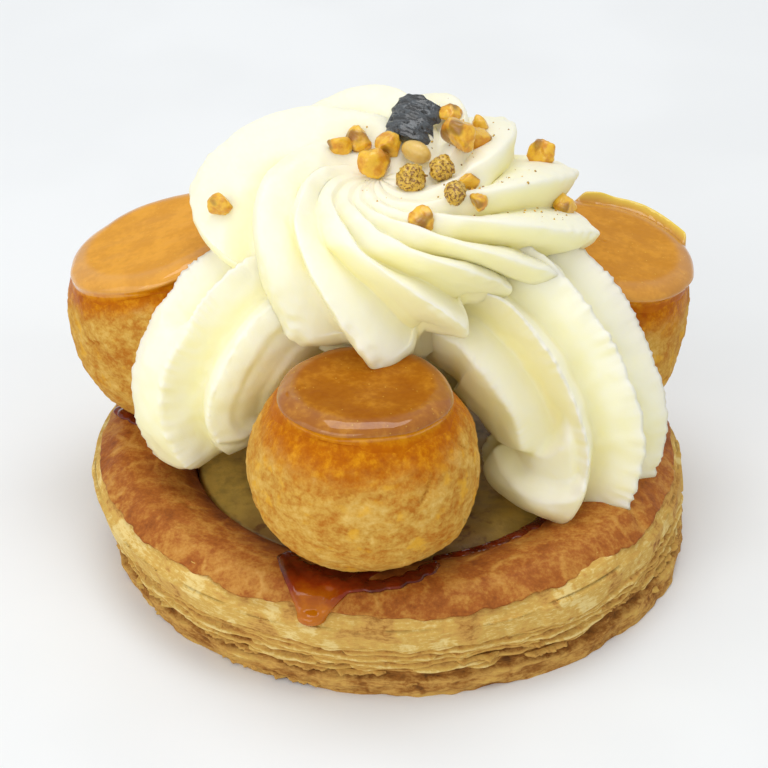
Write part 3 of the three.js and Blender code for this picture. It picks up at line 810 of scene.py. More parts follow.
def side_relief(points, azimuth, crust):
    """How far the flaky side stands out, and its tone: how pale it is baked, with painted shade in the gaps,
    torn places and the recessed band and painted light where edges stand out.
    """
    height = points[..., 2]
    arc = azimuth * crust.rim_radius / MM

    def ground(level):
        return np.stack(np.broadcast_arrays(arc, level, 0 * height), axis=-1)

    # Wavy levels tell the plain band, the torn leaves, the hollow and the bottom sheet apart
    flat = ground(height)
    wobble = 0.9 * bumps(flat * (1, 0.1, 1), 16, 21) + 0.35 * bumps(flat * (1, 0.3, 1), 5, 22)
    wobble = wobble + 0.1 * bumps(flat, 1.6, 27)
    level = height + wobble * ease(height, 0.2, 2) * ease(-height, -15, -12)
    band = ease(level, BAND_FOOT - 0.1, BAND_FOOT + 0.15)
    leaves = ease(level, LEAVES_FOOT - 0.2, LEAVES_FOOT + 0.2)
    bottom = 1 - ease(level, HOLLOW_FOOT - 0.15, HOLLOW_FOOT + 0.15)

    def layered(on_band, on_leaves, in_hollow, on_sheet):
        return band * on_band + (1 - band) * (
            leaves * on_leaves + (1 - leaves) * (bottom * on_sheet + (1 - bottom) * in_hollow))

    # Each leaf has its own ragged edge, torn back in places, and a gap to the next
    leaf = np.floor((BAND_FOOT - level) / LEAF_PITCH)
    part = (BAND_FOOT - level) / LEAF_PITCH - leaf
    place = ground(40.0 * leaf)
    leaf_edge = piled(place, (0.6, 9, 23), (0.4, 3, 24), (0.16, 1.1, 25))
    torn = ease(bumps(place, 6, 28), 0.2, 0.4)
    gap = np.abs(2 * part - 1) ** 3
    leaf_stand = leaf_edge - 0.1 - 1.2 * torn - 0.7 * gap
    # Painted light and shade: a leaf is lighter where its edge stands out and darker where it is torn back
    # and in the gap to the next
    leaf_tone = 0.84 + 0.2 * leaf_edge - 0.36 * torn - 0.4 * gap + 0.14 * bumps(place, 3, 46)

    # The band has low plates and a few splits
    plates = ease(bumps(flat * (1, 0.6, 1), 7, 33), -0.05, 0.05)
    line, _ = cell_edges(bent(flat, 0.8, 2.5, 34, (1, 0.35, 1)), 9, 35)
    split = np.exp(-(line / 0.016) ** 2) * ease(bumps(flat, 9, 36), 0.1, 0.5)
    band_stand = 0.3 * plates + 0.3 * bumps(flat, 5, 37) + 0.07 * rough(flat, 1.8, 38) - 0.15 * split
    toasted = ease(bumps(bent(flat, 0.8, 1.5, 39, (1, 1.2, 1)), 4.5, 44), 0.05, 0.6)
    band_tone = 0.8 - 0.26 * toasted + 0.2 * ease(bumps(flat, 3.4, 45), 0.1, 0.6) - 0.1 * split

    sheet = ground(2.5 * height)
    sheet_stand = 0.5 + 0.5 * bumps(sheet, 6, 41) + 0.3 * bumps(sheet, 1.8, 42)
    # Painted light and shade: the bottom sheet is lighter where it stands out, and the hollow is painted
    # dark
    sheet_tone = 0.42 + 0.2 * bumps(sheet, 4, 47) + 0.2 * sheet_stand
    hollow_stand = -0.9 + 0.6 * bumps(sheet, 4, 43)
    hollow_tone = 0.3 + 0.2 * bumps(sheet, 2, 48)
    stand = layered(band_stand, leaf_stand, hollow_stand, sheet_stand)
    tone = layered(band_tone, leaf_tone, hollow_tone, sheet_tone)
    speckle = ease(bumps(flat, 0.8, 49), 0.3, 0.7) * ease(bumps(flat, 5, 50), -0.2, 0.4)
    return stand, np.clip(tone - 0.22 * speckle, 0, 1)


def leaned_foot(grid, crust):
    """The outside of the base, whose foot stands to one side of its rim."""
    top = crust.side_top / MM
    grid[..., 0] += FOOT_SHIFT * (1 - np.clip(grid[..., 2], 0, top) / top)
    return grid


def make_rim(crust):
    """The glazed rim and the recess: a lid of crust with a ragged lower edge."""
    columns, inner_rows, outer_rows = 640, 34, 40
    azimuth = once_round(columns)
    crown, wide = crust.crown_radius / MM, crust.rim_radius / MM
    recess = crust.recess_radius / MM
    ring = polar(wide, azimuth, 0)
    edge = RIM_EDGE + 0.55 * bumps(ring, 9, 11) + 0.3 * bumps(ring, 3, 12) + 0.2 * bumps(ring, 1.1, 13)
    inner = np.linspace(recess, crown, inner_rows)[:, None] + 0 * azimuth[None]
    outwards_share = np.linspace(0, 1, outer_rows)[1:, None]
    outer = crown + (wide - crown) * outwards_share * rim_out(crust, edge)[None]
    radius = np.concatenate([inner, outer])
    grid = polar(radius, azimuth[None], rim_top(crust, radius))
    slope_out, slope_up = np.gradient(radius, axis=0), np.gradient(grid[..., 2], axis=0)
    steep = np.maximum(np.hypot(slope_out, slope_up), 1e-9)
    normal = polar(-slope_up / steep, azimuth[None], slope_out / steep)
    seam = np.abs(bumps(bent(grid, 1.5, 3, 17), 13, 14))
    crack = np.exp(-(seam / 0.03) ** 2) * ease(bumps(grid, 10, 15), 0.1, 0.4)
    lumps = 0.4 * rough(grid, 11, 1) + 0.16 * rough(grid, 3, 4) + 0.05 * bumps(grid, 1, 8)
    near_edge = np.concatenate([0 * inner, outwards_share ** 6 + 0 * outer])
    curl = near_edge * (0.3 + 0.25 * bumps(grid, 5, 16))
    rise = lumps + RIM_WAVE * ripple(azimuth[None], 4, 2) - 0.45 * crack + curl
    grid = grid + normal * (rise * ease(radius, recess, recess + 3))[..., None]
    last = np.hypot(grid[-1, :, 0], grid[-1, :, 1])
    low = grid[-1, :, 2]
    floor = [(0, RECESS_FLOOR), (16, RECESS_FLOOR), (RECESS_FLOOR_RADIUS, RECESS_FLOOR), (recess - 0.5, 12)]
    below = [(last - 0.15, low - 0.3), (last - 0.9, low - 0.1), (40, 12), (0, RECESS_FLOOR - 1)]

    def rings(places):
        return [polar(r + 0 * azimuth[None], azimuth[None], h + 0 * azimuth[None]) for r, h in places]

    grid = np.concatenate(rings(floor) + [grid] + rings(below))
    inside = np.zeros(grid.shape[:2])
    inside[:len(floor)] = 1
    inside[len(floor):len(floor) + inner_rows] = 1 - ease(inner, recess, recess + 4)
    cracked = np.zeros(grid.shape[:2])
    cracked[len(floor):len(floor) + len(radius)] = crack
    return skin_object("puff_pastry_rim", grid, {"skin": 1, "tone": 0.5, "crack": cracked, "inner": inside})


def make_side(crust):
    """The flaky side under the rim: a plain band, torn leaves and a bottom sheet."""
    columns, rows = 780, 116
    azimuth = once_round(columns)
    height = np.linspace(RIM_EDGE + 0.9, 0, rows)
    crown = crust.crown_radius / MM
    rounding = crown + (crust.rim_radius / MM - crown) * rim_out(crust, height) - 0.5
    radius = np.where(height > crust.side_top / MM, rounding, np.interp(height, *zip(*SIDE_RADII)))
    grid = polar(radius[:, None], azimuth[None], height[:, None])
    stand, tone = side_relief(grid, azimuth[None] + 0 * grid[..., 2], crust)
    stand = stand * ease(-height, -RIM_EDGE - 0.5, -RIM_EDGE + 0.6)[:, None]
    slope = np.gradient(radius, height)[:, None]
    steep = np.hypot(1, slope)
    grid = grid + polar(stand / steep, azimuth[None], -stand * slope / steep)
    grid[..., 2] = grid[..., 2].clip(0)
    caps = [polar(r, azimuth[None], h + 0 * azimuth[None]) for r, h in ((0, 8), (36, 11))]
    feet = [polar(r, azimuth[None], 0 * azimuth[None]) for r in (44, 24, 0)]
    grid = leaned_foot(np.concatenate(caps + [grid] + feet), crust)
    plain = 0 * azimuth[None]
    tone = np.concatenate([plain] * len(caps) + [tone] + [plain + 0.4] * len(feet))
    return skin_object("puff_pastry_side", grid, {"skin": 0, "tone": tone, "crack": 0, "inner": 0})


def crust_material(crust):
    """Glazed brown rim over pale and toasted layers."""
    look = Material("Puff pastry", Specular_IOR_Level=0.14)
    broad = look.noise(7, 5, 0.62, distortion=0.5)
    mottle = look.noise(1.7, 4, 0.68)
    grain = look.noise(0.5, 3, 0.6)
    veins = look.between(look.cells(7, "DISTANCE_TO_EDGE", 2.2), 0.0, 0.1, 1, 0)
    veins = look.times(veins, look.between(look.noise(5, 3), 0.42, 0.6))
    bake = look.plus(
        look.between(broad, 0.3, 0.7, 0.26, 0.66), look.between(mottle, 0.25, 0.75, -0.14, 0.14),
        look.between(grain, 0.25, 0.75, -0.1, 0.1), look.times(veins, 0.24),
        look.painted("crack", 0.2), look.painted("inner", -0.4))
    rim = look.ramp(
        bake, (0, crust.glaze_dark), (0.4, crust.glaze), (0.68, crust.glaze_gold), (1, crust.glaze_light))
    streaks = look.noise(1.6, 5, 0.72, (1, 1, 5))
    flecks = look.noise(0.9, 4, 0.7, (1, 1, 1.3))
    tone = look.plus(
        look.painted("tone"), look.between(streaks, 0.25, 0.75, -0.18, 0.18),
        look.between(flecks, 0.25, 0.75, -0.1, 0.1))
    # The painted tone carries the side's baking along with its painted light and shade
    layers = look.ramp(
        tone, (0, crust.hollow_shade), (0.32, crust.toast), (0.6, crust.leaf), (0.82, crust.pale),
        (1, crust.flour))
    look.set("Base Color", look.mix(look.painted("skin"), layers, rim))
    look.set("Roughness", look.between(look.painted("skin"), 0, 1, 0.8, 0.5))
    look.relief(look.noise(0.8, 4, 0.7), 0.1)
    look.relief(veins, 0.05)
    return look.data


def make_leaves(crust, material):
    """Thin ragged leaves of pastry that stand out of the side, laid round it in arcs."""
    growth = Growth(
        "Pastry leaves", Count=84, Radius=46 * MM, Depth=1.8 * MM, Thickness=0.2 * MM, Wave=0.45 * MM,
        Seed=3)
    strip = growth.add(
        "GeometryNodeMeshCube", {"Size": (1, 1, 1), "Vertices X": 48, "Vertices Y": 5, "Vertices Z": 2})
    line = growth.add("GeometryNodeMeshLine", {"Count": growth.given("Count"), "Offset": (0, 0, 0)})
    strips = growth.add(
        "GeometryNodeInstanceOnPoints", {"Points": line.outputs[0], "Instance": strip.outputs[0]})
    part = growth.math("DIVIDE", growth.add("GeometryNodeInputIndex").outputs[0], growth.given("Count"))
    seed = growth.given("Seed")
    start = growth.times(growth.plus(part, growth.draw(0.0, 0.4, seed)), 3 * TURN)
    laid = growth.stored(strips.outputs[0], "start", start, "INSTANCE")
    laid = growth.stored(laid, "span", growth.draw(0.08, 0.34, growth.plus(seed, 1)), "INSTANCE")
    laid = growth.stored(laid, "level", growth.draw(0.0, 1.0, growth.plus(seed, 2)), "INSTANCE")
    laid = growth.add("GeometryNodeRealizeInstances", {"Geometry": laid}).outputs[0]

    along, inwards, up = growth.parts(growth.place())
    angle = growth.math("MULTIPLY_ADD", along, growth.named("span"), growth.named("start"))
    depth = growth.plus(inwards, 0.5)
    pick = growth.math("ROUND", growth.times(growth.named("level"), LOOSE_STEPS))
    level = growth.math("MULTIPLY_ADD", pick, LOOSE_STEP * MM, LOOSE_LOWEST * MM)
    ground = growth.joined(growth.times(angle, growth.given("Radius")), growth.times(pick, 0.05))
    ragged = growth.math("MULTIPLY_ADD", growth.noise(ground, 1.6, 4.0), 1.1, 0.5)
    from_middle = growth.math("ABSOLUTE", growth.times(along, 2.0))
    ends = growth.minus(1.0, growth.math("POWER", from_middle, 6.0))
    reach = growth.times(growth.times(depth, ragged), growth.times(ends, growth.given("Depth")))
    radius = growth.plus(growth.given("Radius"), reach)
    sag = growth.times(growth.noise(ground, 6, 2.0), growth.given("Wave"))
    thick = growth.times(up, growth.given("Thickness"))
    droop = growth.times(depth, depth, -LOOSE_DROOP * MM)
    height = growth.plus(growth.plus(level, sag), growth.plus(thick, droop))
    height = growth.math("MAXIMUM", height, growth.plus(thick, 0.2 * MM))
    shift = growth.math("MULTIPLY_ADD", height, -FOOT_SHIFT / (crust.side_top / MM), FOOT_SHIFT * MM)
    east = growth.math("MULTIPLY_ADD", radius, growth.math("COSINE", angle), shift)
    north = growth.times(radius, growth.math("SINE", angle))
    placed = growth.moved(laid, growth.joined(east, north, height))
    tone = growth.math("MULTIPLY_ADD", growth.noise(ground, 3, 3.0), 0.4, 0.66)
    thing = add_object("puff_pastry_leaves", bpy.data.meshes.new("puff_pastry_leaves"))
    return growth.run(thing, growth.stored(placed, "tone", tone), material)


def make_base(crust):
    """The puff pastry base with its loose leaves."""
    material = crust_material(crust)
    for piece in (make_rim(crust), make_side(crust), make_leaves(crust, material)):
        settled(piece, material, "puff_pastry", "puff_pastry_base")


def make_filling(crust):
    """Pastry cream in the recess."""
    columns, top_rows = 200, 60
    wall = crust.recess_radius / MM - GAP
    top = np.linspace(0, wall - FILLING_EDGE_FALL, top_rows)
    low = RECESS_FLOOR + GAP
    radius = np.concatenate([top, [wall - 0.3, wall - 0.6, RECESS_FLOOR_RADIUS - GAP, 0]])
    height = np.concatenate([
        FILLING_TOP - FILLING_EDGE_FALL * ease(top, wall - 6, wall),
        [FILLING_TOP - 2 * FILLING_EDGE_FALL, 11, low, low]])
    grid = polar(radius[:, None], once_round(columns)[None], height[:, None])
    free = (np.arange(len(radius)) < top_rows) & (radius > 0)
    grid[..., 2] += free[:, None] * (0.5 * rough(grid, 9, 51) + 0.15 * rough(grid, 2.5, 55))
    look = Material("Pastry cream", Roughness=0.42, Subsurface_Weight=0.2, Subsurface_Scale=0.002,
                    Subsurface_Radius=(1, 0.7, 0.2))
    darker = [0.72 * c for c in crust.custard]
    shade = look.mix(look.between(look.noise(3, 4), 0.4, 0.7), crust.custard, darker)
    # Painted shade and soaked caramel: the cream turns dark brown near the front bun's foot
    from_foot = look.away((*BUNS["front"]["centre"][:2], FILLING_TOP))
    soaked_and_shaded = look.plus(
        look.between(from_foot, 0.031, 0.016, 0, 0.85), look.between(look.noise(2.5, 4), 0.5, 0.7, 0, 0.3))
    look.set("Base Color", look.mix(soaked_and_shaded, shade, crust.soaked_and_shaded))
    look.relief(look.noise(1.2, 3), 0.1)
    settled(skin_object("pastry_cream_filling", grid, {}), look.data, "custard", "pastry_cream")


# Choux buns and caramel

def cap_frame(bun, points):
    """Height of points over the underside of a bun's caramel disc, and the disc's normal."""
    up = leaned(np.array([[0.0, 0.0, 1.0]]), bun["cap_lean"], bun["cap_towards"])[0]
    return (points - np.array(bun["cap_centre"])) @ up, up


def make_bun(name, settings, crust, seed):
    """One choux bun: a rounded puff, wrinkled and cracked, pressed flat under its disc."""
    bun = BUNS[name]
    columns, rows = 250, 170
    angle = np.pi * np.arange(rows + 1) / rows
    power = 2 / np.where(angle < np.pi / 2, bun["shoulder"], BUN_SQUARENESS)
    radius = bun["radius"] * np.sin(angle).clip(0) ** power
    height = bun["half_height"] * np.sign(np.cos(angle)) * np.abs(np.cos(angle)) ** power
    azimuth = once_round(columns)[None]
    wave = 1 + BUN_WAVE * ripple(azimuth, 3, height[:, None] / 6 + bun["radius"])
    grid = polar(radius[:, None] * wave, azimuth, height[:, None])
    grid = leaned(grid, bun["lean"], bun["towards"]) + np.array(bun["centre"])
    seam = np.abs(bumps(bent(grid, 1.2, 2.5, seed), 8, seed + 1))
    crack = np.exp(-(seam / 0.035) ** 2) * ease(bumps(grid, 6, seed + 9), 0.05, 0.4)
    lump = settings.lump / MM * rough(grid, 12, seed + 5)
    wrinkled = bent(grid, 1.1, 5, seed + 4, (1, 1, 1.7))
    wrinkle = rough(wrinkled, 2.6, seed + 6) + 0.35 * bumps(wrinkled, 0.9, seed + 2)

    # The film of caramel ends at uneven runs below the disc
    below = -cap_frame(bun, grid)[0]
    round_bun = np.stack(np.broadcast_arrays(azimuth * BUN_ARC, 0 * below, 0 * below), -1)
    runs = 1 + 0.5 * bumps(round_bun, 7, seed + 7) + 0.2 * bumps(grid, 2.2, seed + 8)
    runs = settings.film_run / MM * runs
    glaze = 1 - ease(below, runs * 0.3, runs * 1.4)
    relief = lump + settings.pebble / MM * wrinkle * (1 - 0.7 * glaze) - 0.5 * crack * (1 - glaze)
    grid = grid + outwards(grid) * relief[..., None]

    # Nothing goes up into the disc or down into the base
    over, up = cap_frame(bun, grid)
    grid = grid - np.maximum(over + GAP, 0)[..., None] * up
    out = np.hypot(grid[..., 0], grid[..., 1])
    rest = np.where(out > crust.recess_radius / MM, rim_top(crust, out), FILLING_TOP) + 0.1
    grid[..., 2] = np.maximum(grid[..., 2], np.where(out < BUN_REST_REACH, rest, 0))
    foot = 1 - ease(grid[..., 2], 16.5, 20)
    values = {"glaze": glaze, "crack": crack, "foot": foot, "wrinkle": wrinkle}
    return skin_object(f"choux_bun_{name}", grid, values)


def bun_material(settings):
    """Mottled golden skin that turns into a caramel film towards the disc."""
    look = Material("Choux", Specular_IOR_Level=0.03)
    patches = look.noise(5, 4, 0.6, (1, 1, 1.3))
    mottle = look.noise(1.5, 4, 0.65, (1, 1, 1.4))
    grain = look.noise(0.45, 3, 0.6)
    flakes = look.between(look.cells(1.6, "F1", 1.2), 0.1, 0.8, 0.16, -0.16)
    bake = look.plus(
        look.between(patches, 0.3, 0.7, 0.2, 0.7), look.between(mottle, 0.25, 0.75, -0.26, 0.26),
        look.between(grain, 0.25, 0.75, -0.14, 0.14),
        look.times(flakes, look.between(look.noise(4, 3), 0.4, 0.6)),
        look.painted("wrinkle", 0.14), look.painted("crack", -0.5), look.painted("foot", -0.2))
    skin = look.ramp(bake, (0, settings.skin_dark), (0.5, settings.skin), (1, settings.skin_light))
    spots = look.between(look.noise(4.4, 3, 0.5, (1.3, 1.3, 1.3)), 0.56, 0.7, 0, 0.7)
    skin = look.mix(spots, skin, settings.skin_yellow)
    clouds = look.noise(1.8, 4, 0.65)
    film = look.ramp(clouds, (0.3, settings.film_dark), (0.5, settings.film), (0.72, settings.film_light))
    look.set("Base Color", look.mix(look.painted("glaze", 0.96), skin, film))
    look.set("Roughness", look.between(look.painted("glaze"), 0.2, 0.9, 0.65, 0.3))
    look.relief(look.noise(0.7, 4, 0.65), 0.16)
    return look.data


def bun_reach(bun, azimuth, height):
    """Radius of a bun's skin round the axis of its disc, at azimuths and heights over its underside."""
    from_bun = np.array(bun["cap_centre"]) - np.array(bun["centre"])
    low, high = np.zeros(azimuth.shape), np.full(azimuth.shape, 2.0 * bun["radius"])
    for _ in range(30):
        middle = (low + high) / 2
        points = leaned(polar(middle, azimuth, height), bun["cap_lean"], bun["cap_towards"])
        points = leaned(points + from_bun, -bun["lean"], bun["towards"])
        out = np.hypot(points[..., 0], points[..., 1]) / bun["radius"]
        up = np.abs(points[..., 2]) / bun["half_height"]
        inside = out ** bun["shoulder"] + up ** bun["shoulder"] < 1
        low, high = np.where(inside, middle, low), np.where(inside, high, middle)
    return low


def make_cap(name, seed):
    """One caramel disc: flat on top, a wide rounded lip, and a skirt that ran down on the bun below."""
    bun = BUNS[name]
    columns, flat_rows, lip_rows, skirt_rows = 300, 40, 26, 16
    size = bun["cap_radius"]
    azimuth = once_round(columns)[None]
    flat = np.linspace(0, 1, flat_rows) * (size - CAP_LIP)
    bend = np.linspace(0, np.pi / 2, lip_rows)[1:] * CAP_BEND
    lip_radius = size - CAP_LIP + CAP_LIP * np.sin(bend)
    lip_height = CAP_THICKNESS - CAP_LIP_FALL * (1 - np.cos(bend))
    wave = 1 + CAP_WAVE * ripple(azimuth, 3, bun["cap_lean"])
    radius = np.concatenate([flat, lip_radius])[:, None] * wave
    height = np.concatenate([0 * flat + CAP_THICKNESS, lip_height])[:, None] + 0 * wave
    drop = np.linspace(0, 1, skirt_rows)[1:, None] + 0 * wave
    skirt_height = lip_height[-1] - drop * (lip_height[-1] + CAP_SKIRT)
    hugging = bun_reach(bun, azimuth + 0 * drop, skirt_height) + CAP_FILM * (1 - 4 * drop ** 2)
    skirt = radius[-1:] + (hugging - radius[-1:]) * ease(drop, 0, 0.55)
    end = [skirt[-1:] - 1.5, 0 * wave]
    radius = np.concatenate([radius, skirt] + end)
    height = np.concatenate([height, skirt_height] + [skirt_height[-1:]] * len(end))
    grid = polar(radius, azimuth, height)
    part = radius / size
    upper = ease(height, 0, CAP_THICKNESS)
    grid[..., 2] += upper * piled(grid, (0.2, 8, seed), (0.06, 2.5, seed + 1)) * (part > 0)
    outer = ease(part, 0.8, 1) * ease(height, -0.5, 0.5)
    grid[..., :2] *= (1 + outer * 0.018 * bumps(grid, 4, seed + 2))[..., None]
    thin = 0 * grid[..., 2]
    if name == "right":
        facing = (azimuth - math.radians(STRIP_TOWARDS) + np.pi) % TURN - np.pi
        along = 1 - ease(np.abs(facing), math.radians(STRIP_SPREAD) * 0.8, math.radians(STRIP_SPREAD))
        thin = along * (np.exp(-((part - 0.975) / 0.022) ** 4) * (height > lip_height[-1]))
        grid[..., 2] += thin * STRIP_HEIGHT * (1 + 0.25 * bumps(grid, 3, seed + 4))
        grid[..., :2] *= (1 + 0.045 * thin)[..., None]
    lip = ease(part, 0.72, 0.94) * (height > 0)
    run = np.concatenate([np.zeros((len(flat) + len(bend), columns)), drop, 1 + 0 * drop[:len(end)]])
    grid = leaned(grid, bun["cap_lean"], bun["cap_towards"]) + np.array(bun["cap_centre"])
    # pale is how much painted sheen lightens the disc
    values = {"thin": thin, "lip": lip, "run": run, "pale": bun["painted_sheen"]}
    return skin_object(f"caramel_disc_{name}", grid, values)


def cap_material(settings):
    """Clear set caramel: amber clouds under a glossy surface, with fine bubbles."""
    look = Material("Caramel", Roughness=0.35, Specular_IOR_Level=0.04, Coat_Roughness=0.04)
    clouds = look.plus(
        look.between(look.noise(5, 4, 0.6), 0.3, 0.7, 0.15, 0.75),
        look.between(look.noise(1, 3), 0.2, 0.8, -0.2, 0.2))
    amber = look.ramp(
        clouds, (0, settings.caramel_dark), (0.5, settings.caramel), (1, settings.caramel_light))
    # Painted sheen and light through the caramel lighten the discs behind
    pale = look.times(look.painted("pale"), look.between(clouds, 0.2, 0.8, 0.72, 0.9))
    amber = look.mix(pale, amber, settings.caramel_sheen)
    # Fine bubbles: real bubbles, painted as pale glints in the colour of light through thin caramel
    bubbles = look.between(look.cells(1.3), 0.0, 0.13, 1, 0)
    amber = look.mix(look.times(bubbles, 0.5), amber, settings.caramel_thin)
    run = look.painted("run")
    flow = look.plus(
        look.between(run, 0.1, 0.7, 0.9, 0.4),
        look.between(look.noise(1.5, 4, 0.65), 0.25, 0.75, -0.25, 0.25))
    film = look.ramp(flow, (0, settings.film_dark), (0.5, settings.film), (1, settings.film_light))
    amber = look.mix(look.between(run, 0, 0.2), amber, film)
    # A thin edge is painted the pale yellow of light shining through it
    look.set("Base Color", look.mix(look.painted("thin"), amber, settings.caramel_thin))
    look.set("Coat Weight", look.between(look.painted("lip"), 0, 0.6, 0.03, 1))
    look.relief(look.noise(1.6, 2), 0.06)
    look.relief(bubbles, 0.05)
    return look.data


def make_pools(settings, crust):
    """Thick caramel that gathered at the feet of the buns and ran over the front of the rim."""
    unit, turns = ball(3)
    points, faces = [], []

    def add_blob(reach, degrees, size, centre=(0, 0)):
        azimuth = math.radians(degrees)
        x, y = centre[0] + reach * math.cos(azimuth), centre[1] + reach * math.sin(azimuth)
        rest = float(rim_top(crust, np.array(math.hypot(x, y)))) + 0.1
        faces.extend([[i + len(points) for i in face] for face in turns])
        points.extend(unit * size + (x, y, rest))

    for name, (first, last, count, reach) in FOOT_POOLS.items():
        for angle in np.linspace(first, last, count):
            wide = 1 + 0.7 * math.sin(angle * 0.21) ** 2
            add_blob(reach, angle, (wide, wide, 0.55), BUNS[name]["centre"][:2])
    for angle in np.linspace(*RECESS_POOL):
        add_blob(crust.recess_radius / MM + 0.7 + 0.3 * math.sin(angle), angle, (1.1, 1.1, 0.4))
    for part in np.linspace(0, 1, DRIP_STEPS):
        reach = DRIP_START + (DRIP_TIP - DRIP_START) * part
        half = DRIP_WIDTH * (1 - part) ** 0.8 + 1.6
        add_blob(reach, DRIP_AZIMUTH, (half, 0.9, 0.3))
        for side in (-1, 1):
            lean = math.degrees(side * (half - 0.9) / reach)
            add_blob(reach, DRIP_AZIMUTH + lean, (1.2, 1.2, 0.45 + 0.25 * part))
    add_blob(DRIP_TIP, DRIP_AZIMUTH, (2.3, 1.8, 1.2))

    thing = add_object("caramel_pools", new_mesh("caramel_pools", points, faces=faces))
    remesh = thing.modifiers.new("Join", "REMESH")
    remesh.mode = "VOXEL"
    remesh.voxel_size = POOL_VOXEL * MM
    smooth = thing.modifiers.new("Round", "SMOOTH")
    smooth.iterations = POOL_ROUNDING
    baked(thing)
    finish_mesh(thing.data)

    look = Material(
        "Caramel pools", Roughness=0.12, Specular_IOR_Level=0.2, Coat_Weight=0.35, Coat_Roughness=0.03)
    drip = math.radians(DRIP_AZIMUTH)
    from_tip = look.away((DRIP_TIP * math.cos(drip), DRIP_TIP * math.sin(drip), DRIP_TIP_HEIGHT))
    shade = look.plus(
        look.between(from_tip, 0.009, 0.001, 0.05, 0.9), look.between(look.noise(2.4, 3), 0.3, 0.7, 0, 0.25))
    look.set("Base Color", look.ramp(shade, (0, settings.pool), (0.5, settings.run), (1, settings.film)))
    settled(thing, look.data, "caramel", "puff_pastry_base")


def make_buns(settings, crust):
    """The three buns, their caramel discs and the caramel at their feet."""
    skin = bun_material(settings)
    caramel = cap_material(settings)
    for i, name in enumerate(BUNS):
        settled(make_bun(name, settings, crust, 100 + 20 * i), skin, "choux", f"choux_{name}")
        settled(make_cap(name, 200 + 10 * i), caramel, "caramel", f"caramel_cap_{name}")
    make_pools(settings, crust)


# Piped cream

def petal_columns(per_petal):
    """Azimuth, reach, lift and crest height for columns that run along the petals."""
    petals = np.array(PETALS, float)
    widths = (np.roll(petals[:, 0], -1) - petals[:, 0]) % 360
    across = np.tile(np.arange(per_petal) / per_petal, len(petals))
    index = np.repeat(np.arange(len(petals)), per_petal)
    crest_place = petals[index, 3]
    from_crease = np.minimum(across / crest_place, (1 - across) / (1 - crest_place))
    crest = PETAL_ROUNDNESS * np.sin(np.pi / 2 * from_crease) + (1 - PETAL_ROUNDNESS) * from_crease
    for _ in range(2):
        crest = 0.5 * crest + 0.25 * (np.roll(crest, 1) + np.roll(crest, -1))
    before, after = petals[index - 1], petals[(index + 1) % len(petals)]
    own = petals[index]
    mix_before = 0.5 * (1 - ease(across, 0, 0.16))[:, None]
    mix_after = 0.5 * ease(across, 0.84, 1)[:, None]
    shaped = own * (1 - mix_before - mix_after) + before * mix_before + after * mix_after
    return petals[index, 0] + across * widths[index], shaped[:, 1], shaped[:, 2], crest


def make_rosette(settings):
    """The rosette: petals that wind from the middle over the top and hang down all round."""
    per_petal, rows = 40, 190
    azimuth, reach, lift, crest = (part[None] for part in petal_columns(per_petal))
    along = np.linspace(0, 1, rows)
    ring = through(ROSETTE_RINGS, along)
    slope = through(ROSETTE_RINGS, along + 1e-3) - through(ROSETTE_RINGS, along - 1e-3)
    fall_out = np.maximum(slope[:, 0], 0)
    steep = np.hypot(fall_out, slope[:, 1])
    fall_out, fall_up = (fall_out / steep)[:, None], (slope[:, 1] / steep)[:, None]
    spread = ease(along, *SPREAD)[:, None]
    groove = (1 - crest) * ring[:, 3:4]
    radius = ring[:, 0:1] * (1 + (reach - 1) * spread) + groove * fall_up
    height = ring[:, 1:2] + lift * spread - groove * fall_out
    angle = np.radians(azimuth - ROSETTE_RINGS[-1][2] + ring[:, 2:3])
    core = [polar(r, np.radians(azimuth), h + 0 * azimuth) for r, h in CORE_RINGS]
    pole = polar(0 * azimuth, 0 * azimuth, ring[0, 1] + 0 * azimuth)
    grid = np.concatenate([pole, polar(radius, angle, height)] + core)

    def whole(at_pole, on_petals, on_core):
        """Numbers for all rows, from those of the petals and one for each end."""
        rest = [0 * crest + on_core] * len(core)
        return np.concatenate([0 * crest + at_pole, on_petals + 0 * radius] + rest)

    # How deep each point lies in a crease, painted as yellow shade by the material
    crease = whole(0, (1 - crest) * np.clip(ring[:, 3:4] / 4, 0, 1), 1)
    crest_line = whole(0, crest ** 6, 0)
    edge = whole(0, ease(along, 0.45, 0.7)[:, None], 0)
    middle = whole(1, 1 - ease(along, 0.2, 0.5)[:, None], 0)
    free = np.zeros((len(grid), 1))
    free[2:rows] = 1
    scallop = bumps(grid, 1.5, 61) * crest_line * edge * 0.6 * settings.serration / MM
    broad = rough(grid, 9, 63) + 0.25 * bumps(grid, 2.5, 66)
    broad = broad + middle * piled(grid, (1.2, 5, 67), (0.5, 2, 68))
    broad = broad * settings.unevenness / MM
    grid = grid + outwards(grid) * (free * (scallop + broad))[..., None]
    grid = leaned(grid, ROSETTE_LEAN, ROSETTE_TOWARDS) + np.array(ROSETTE_CENTRE)
    return skin_object("cream_rosette_piped", grid, {"crease": crease})


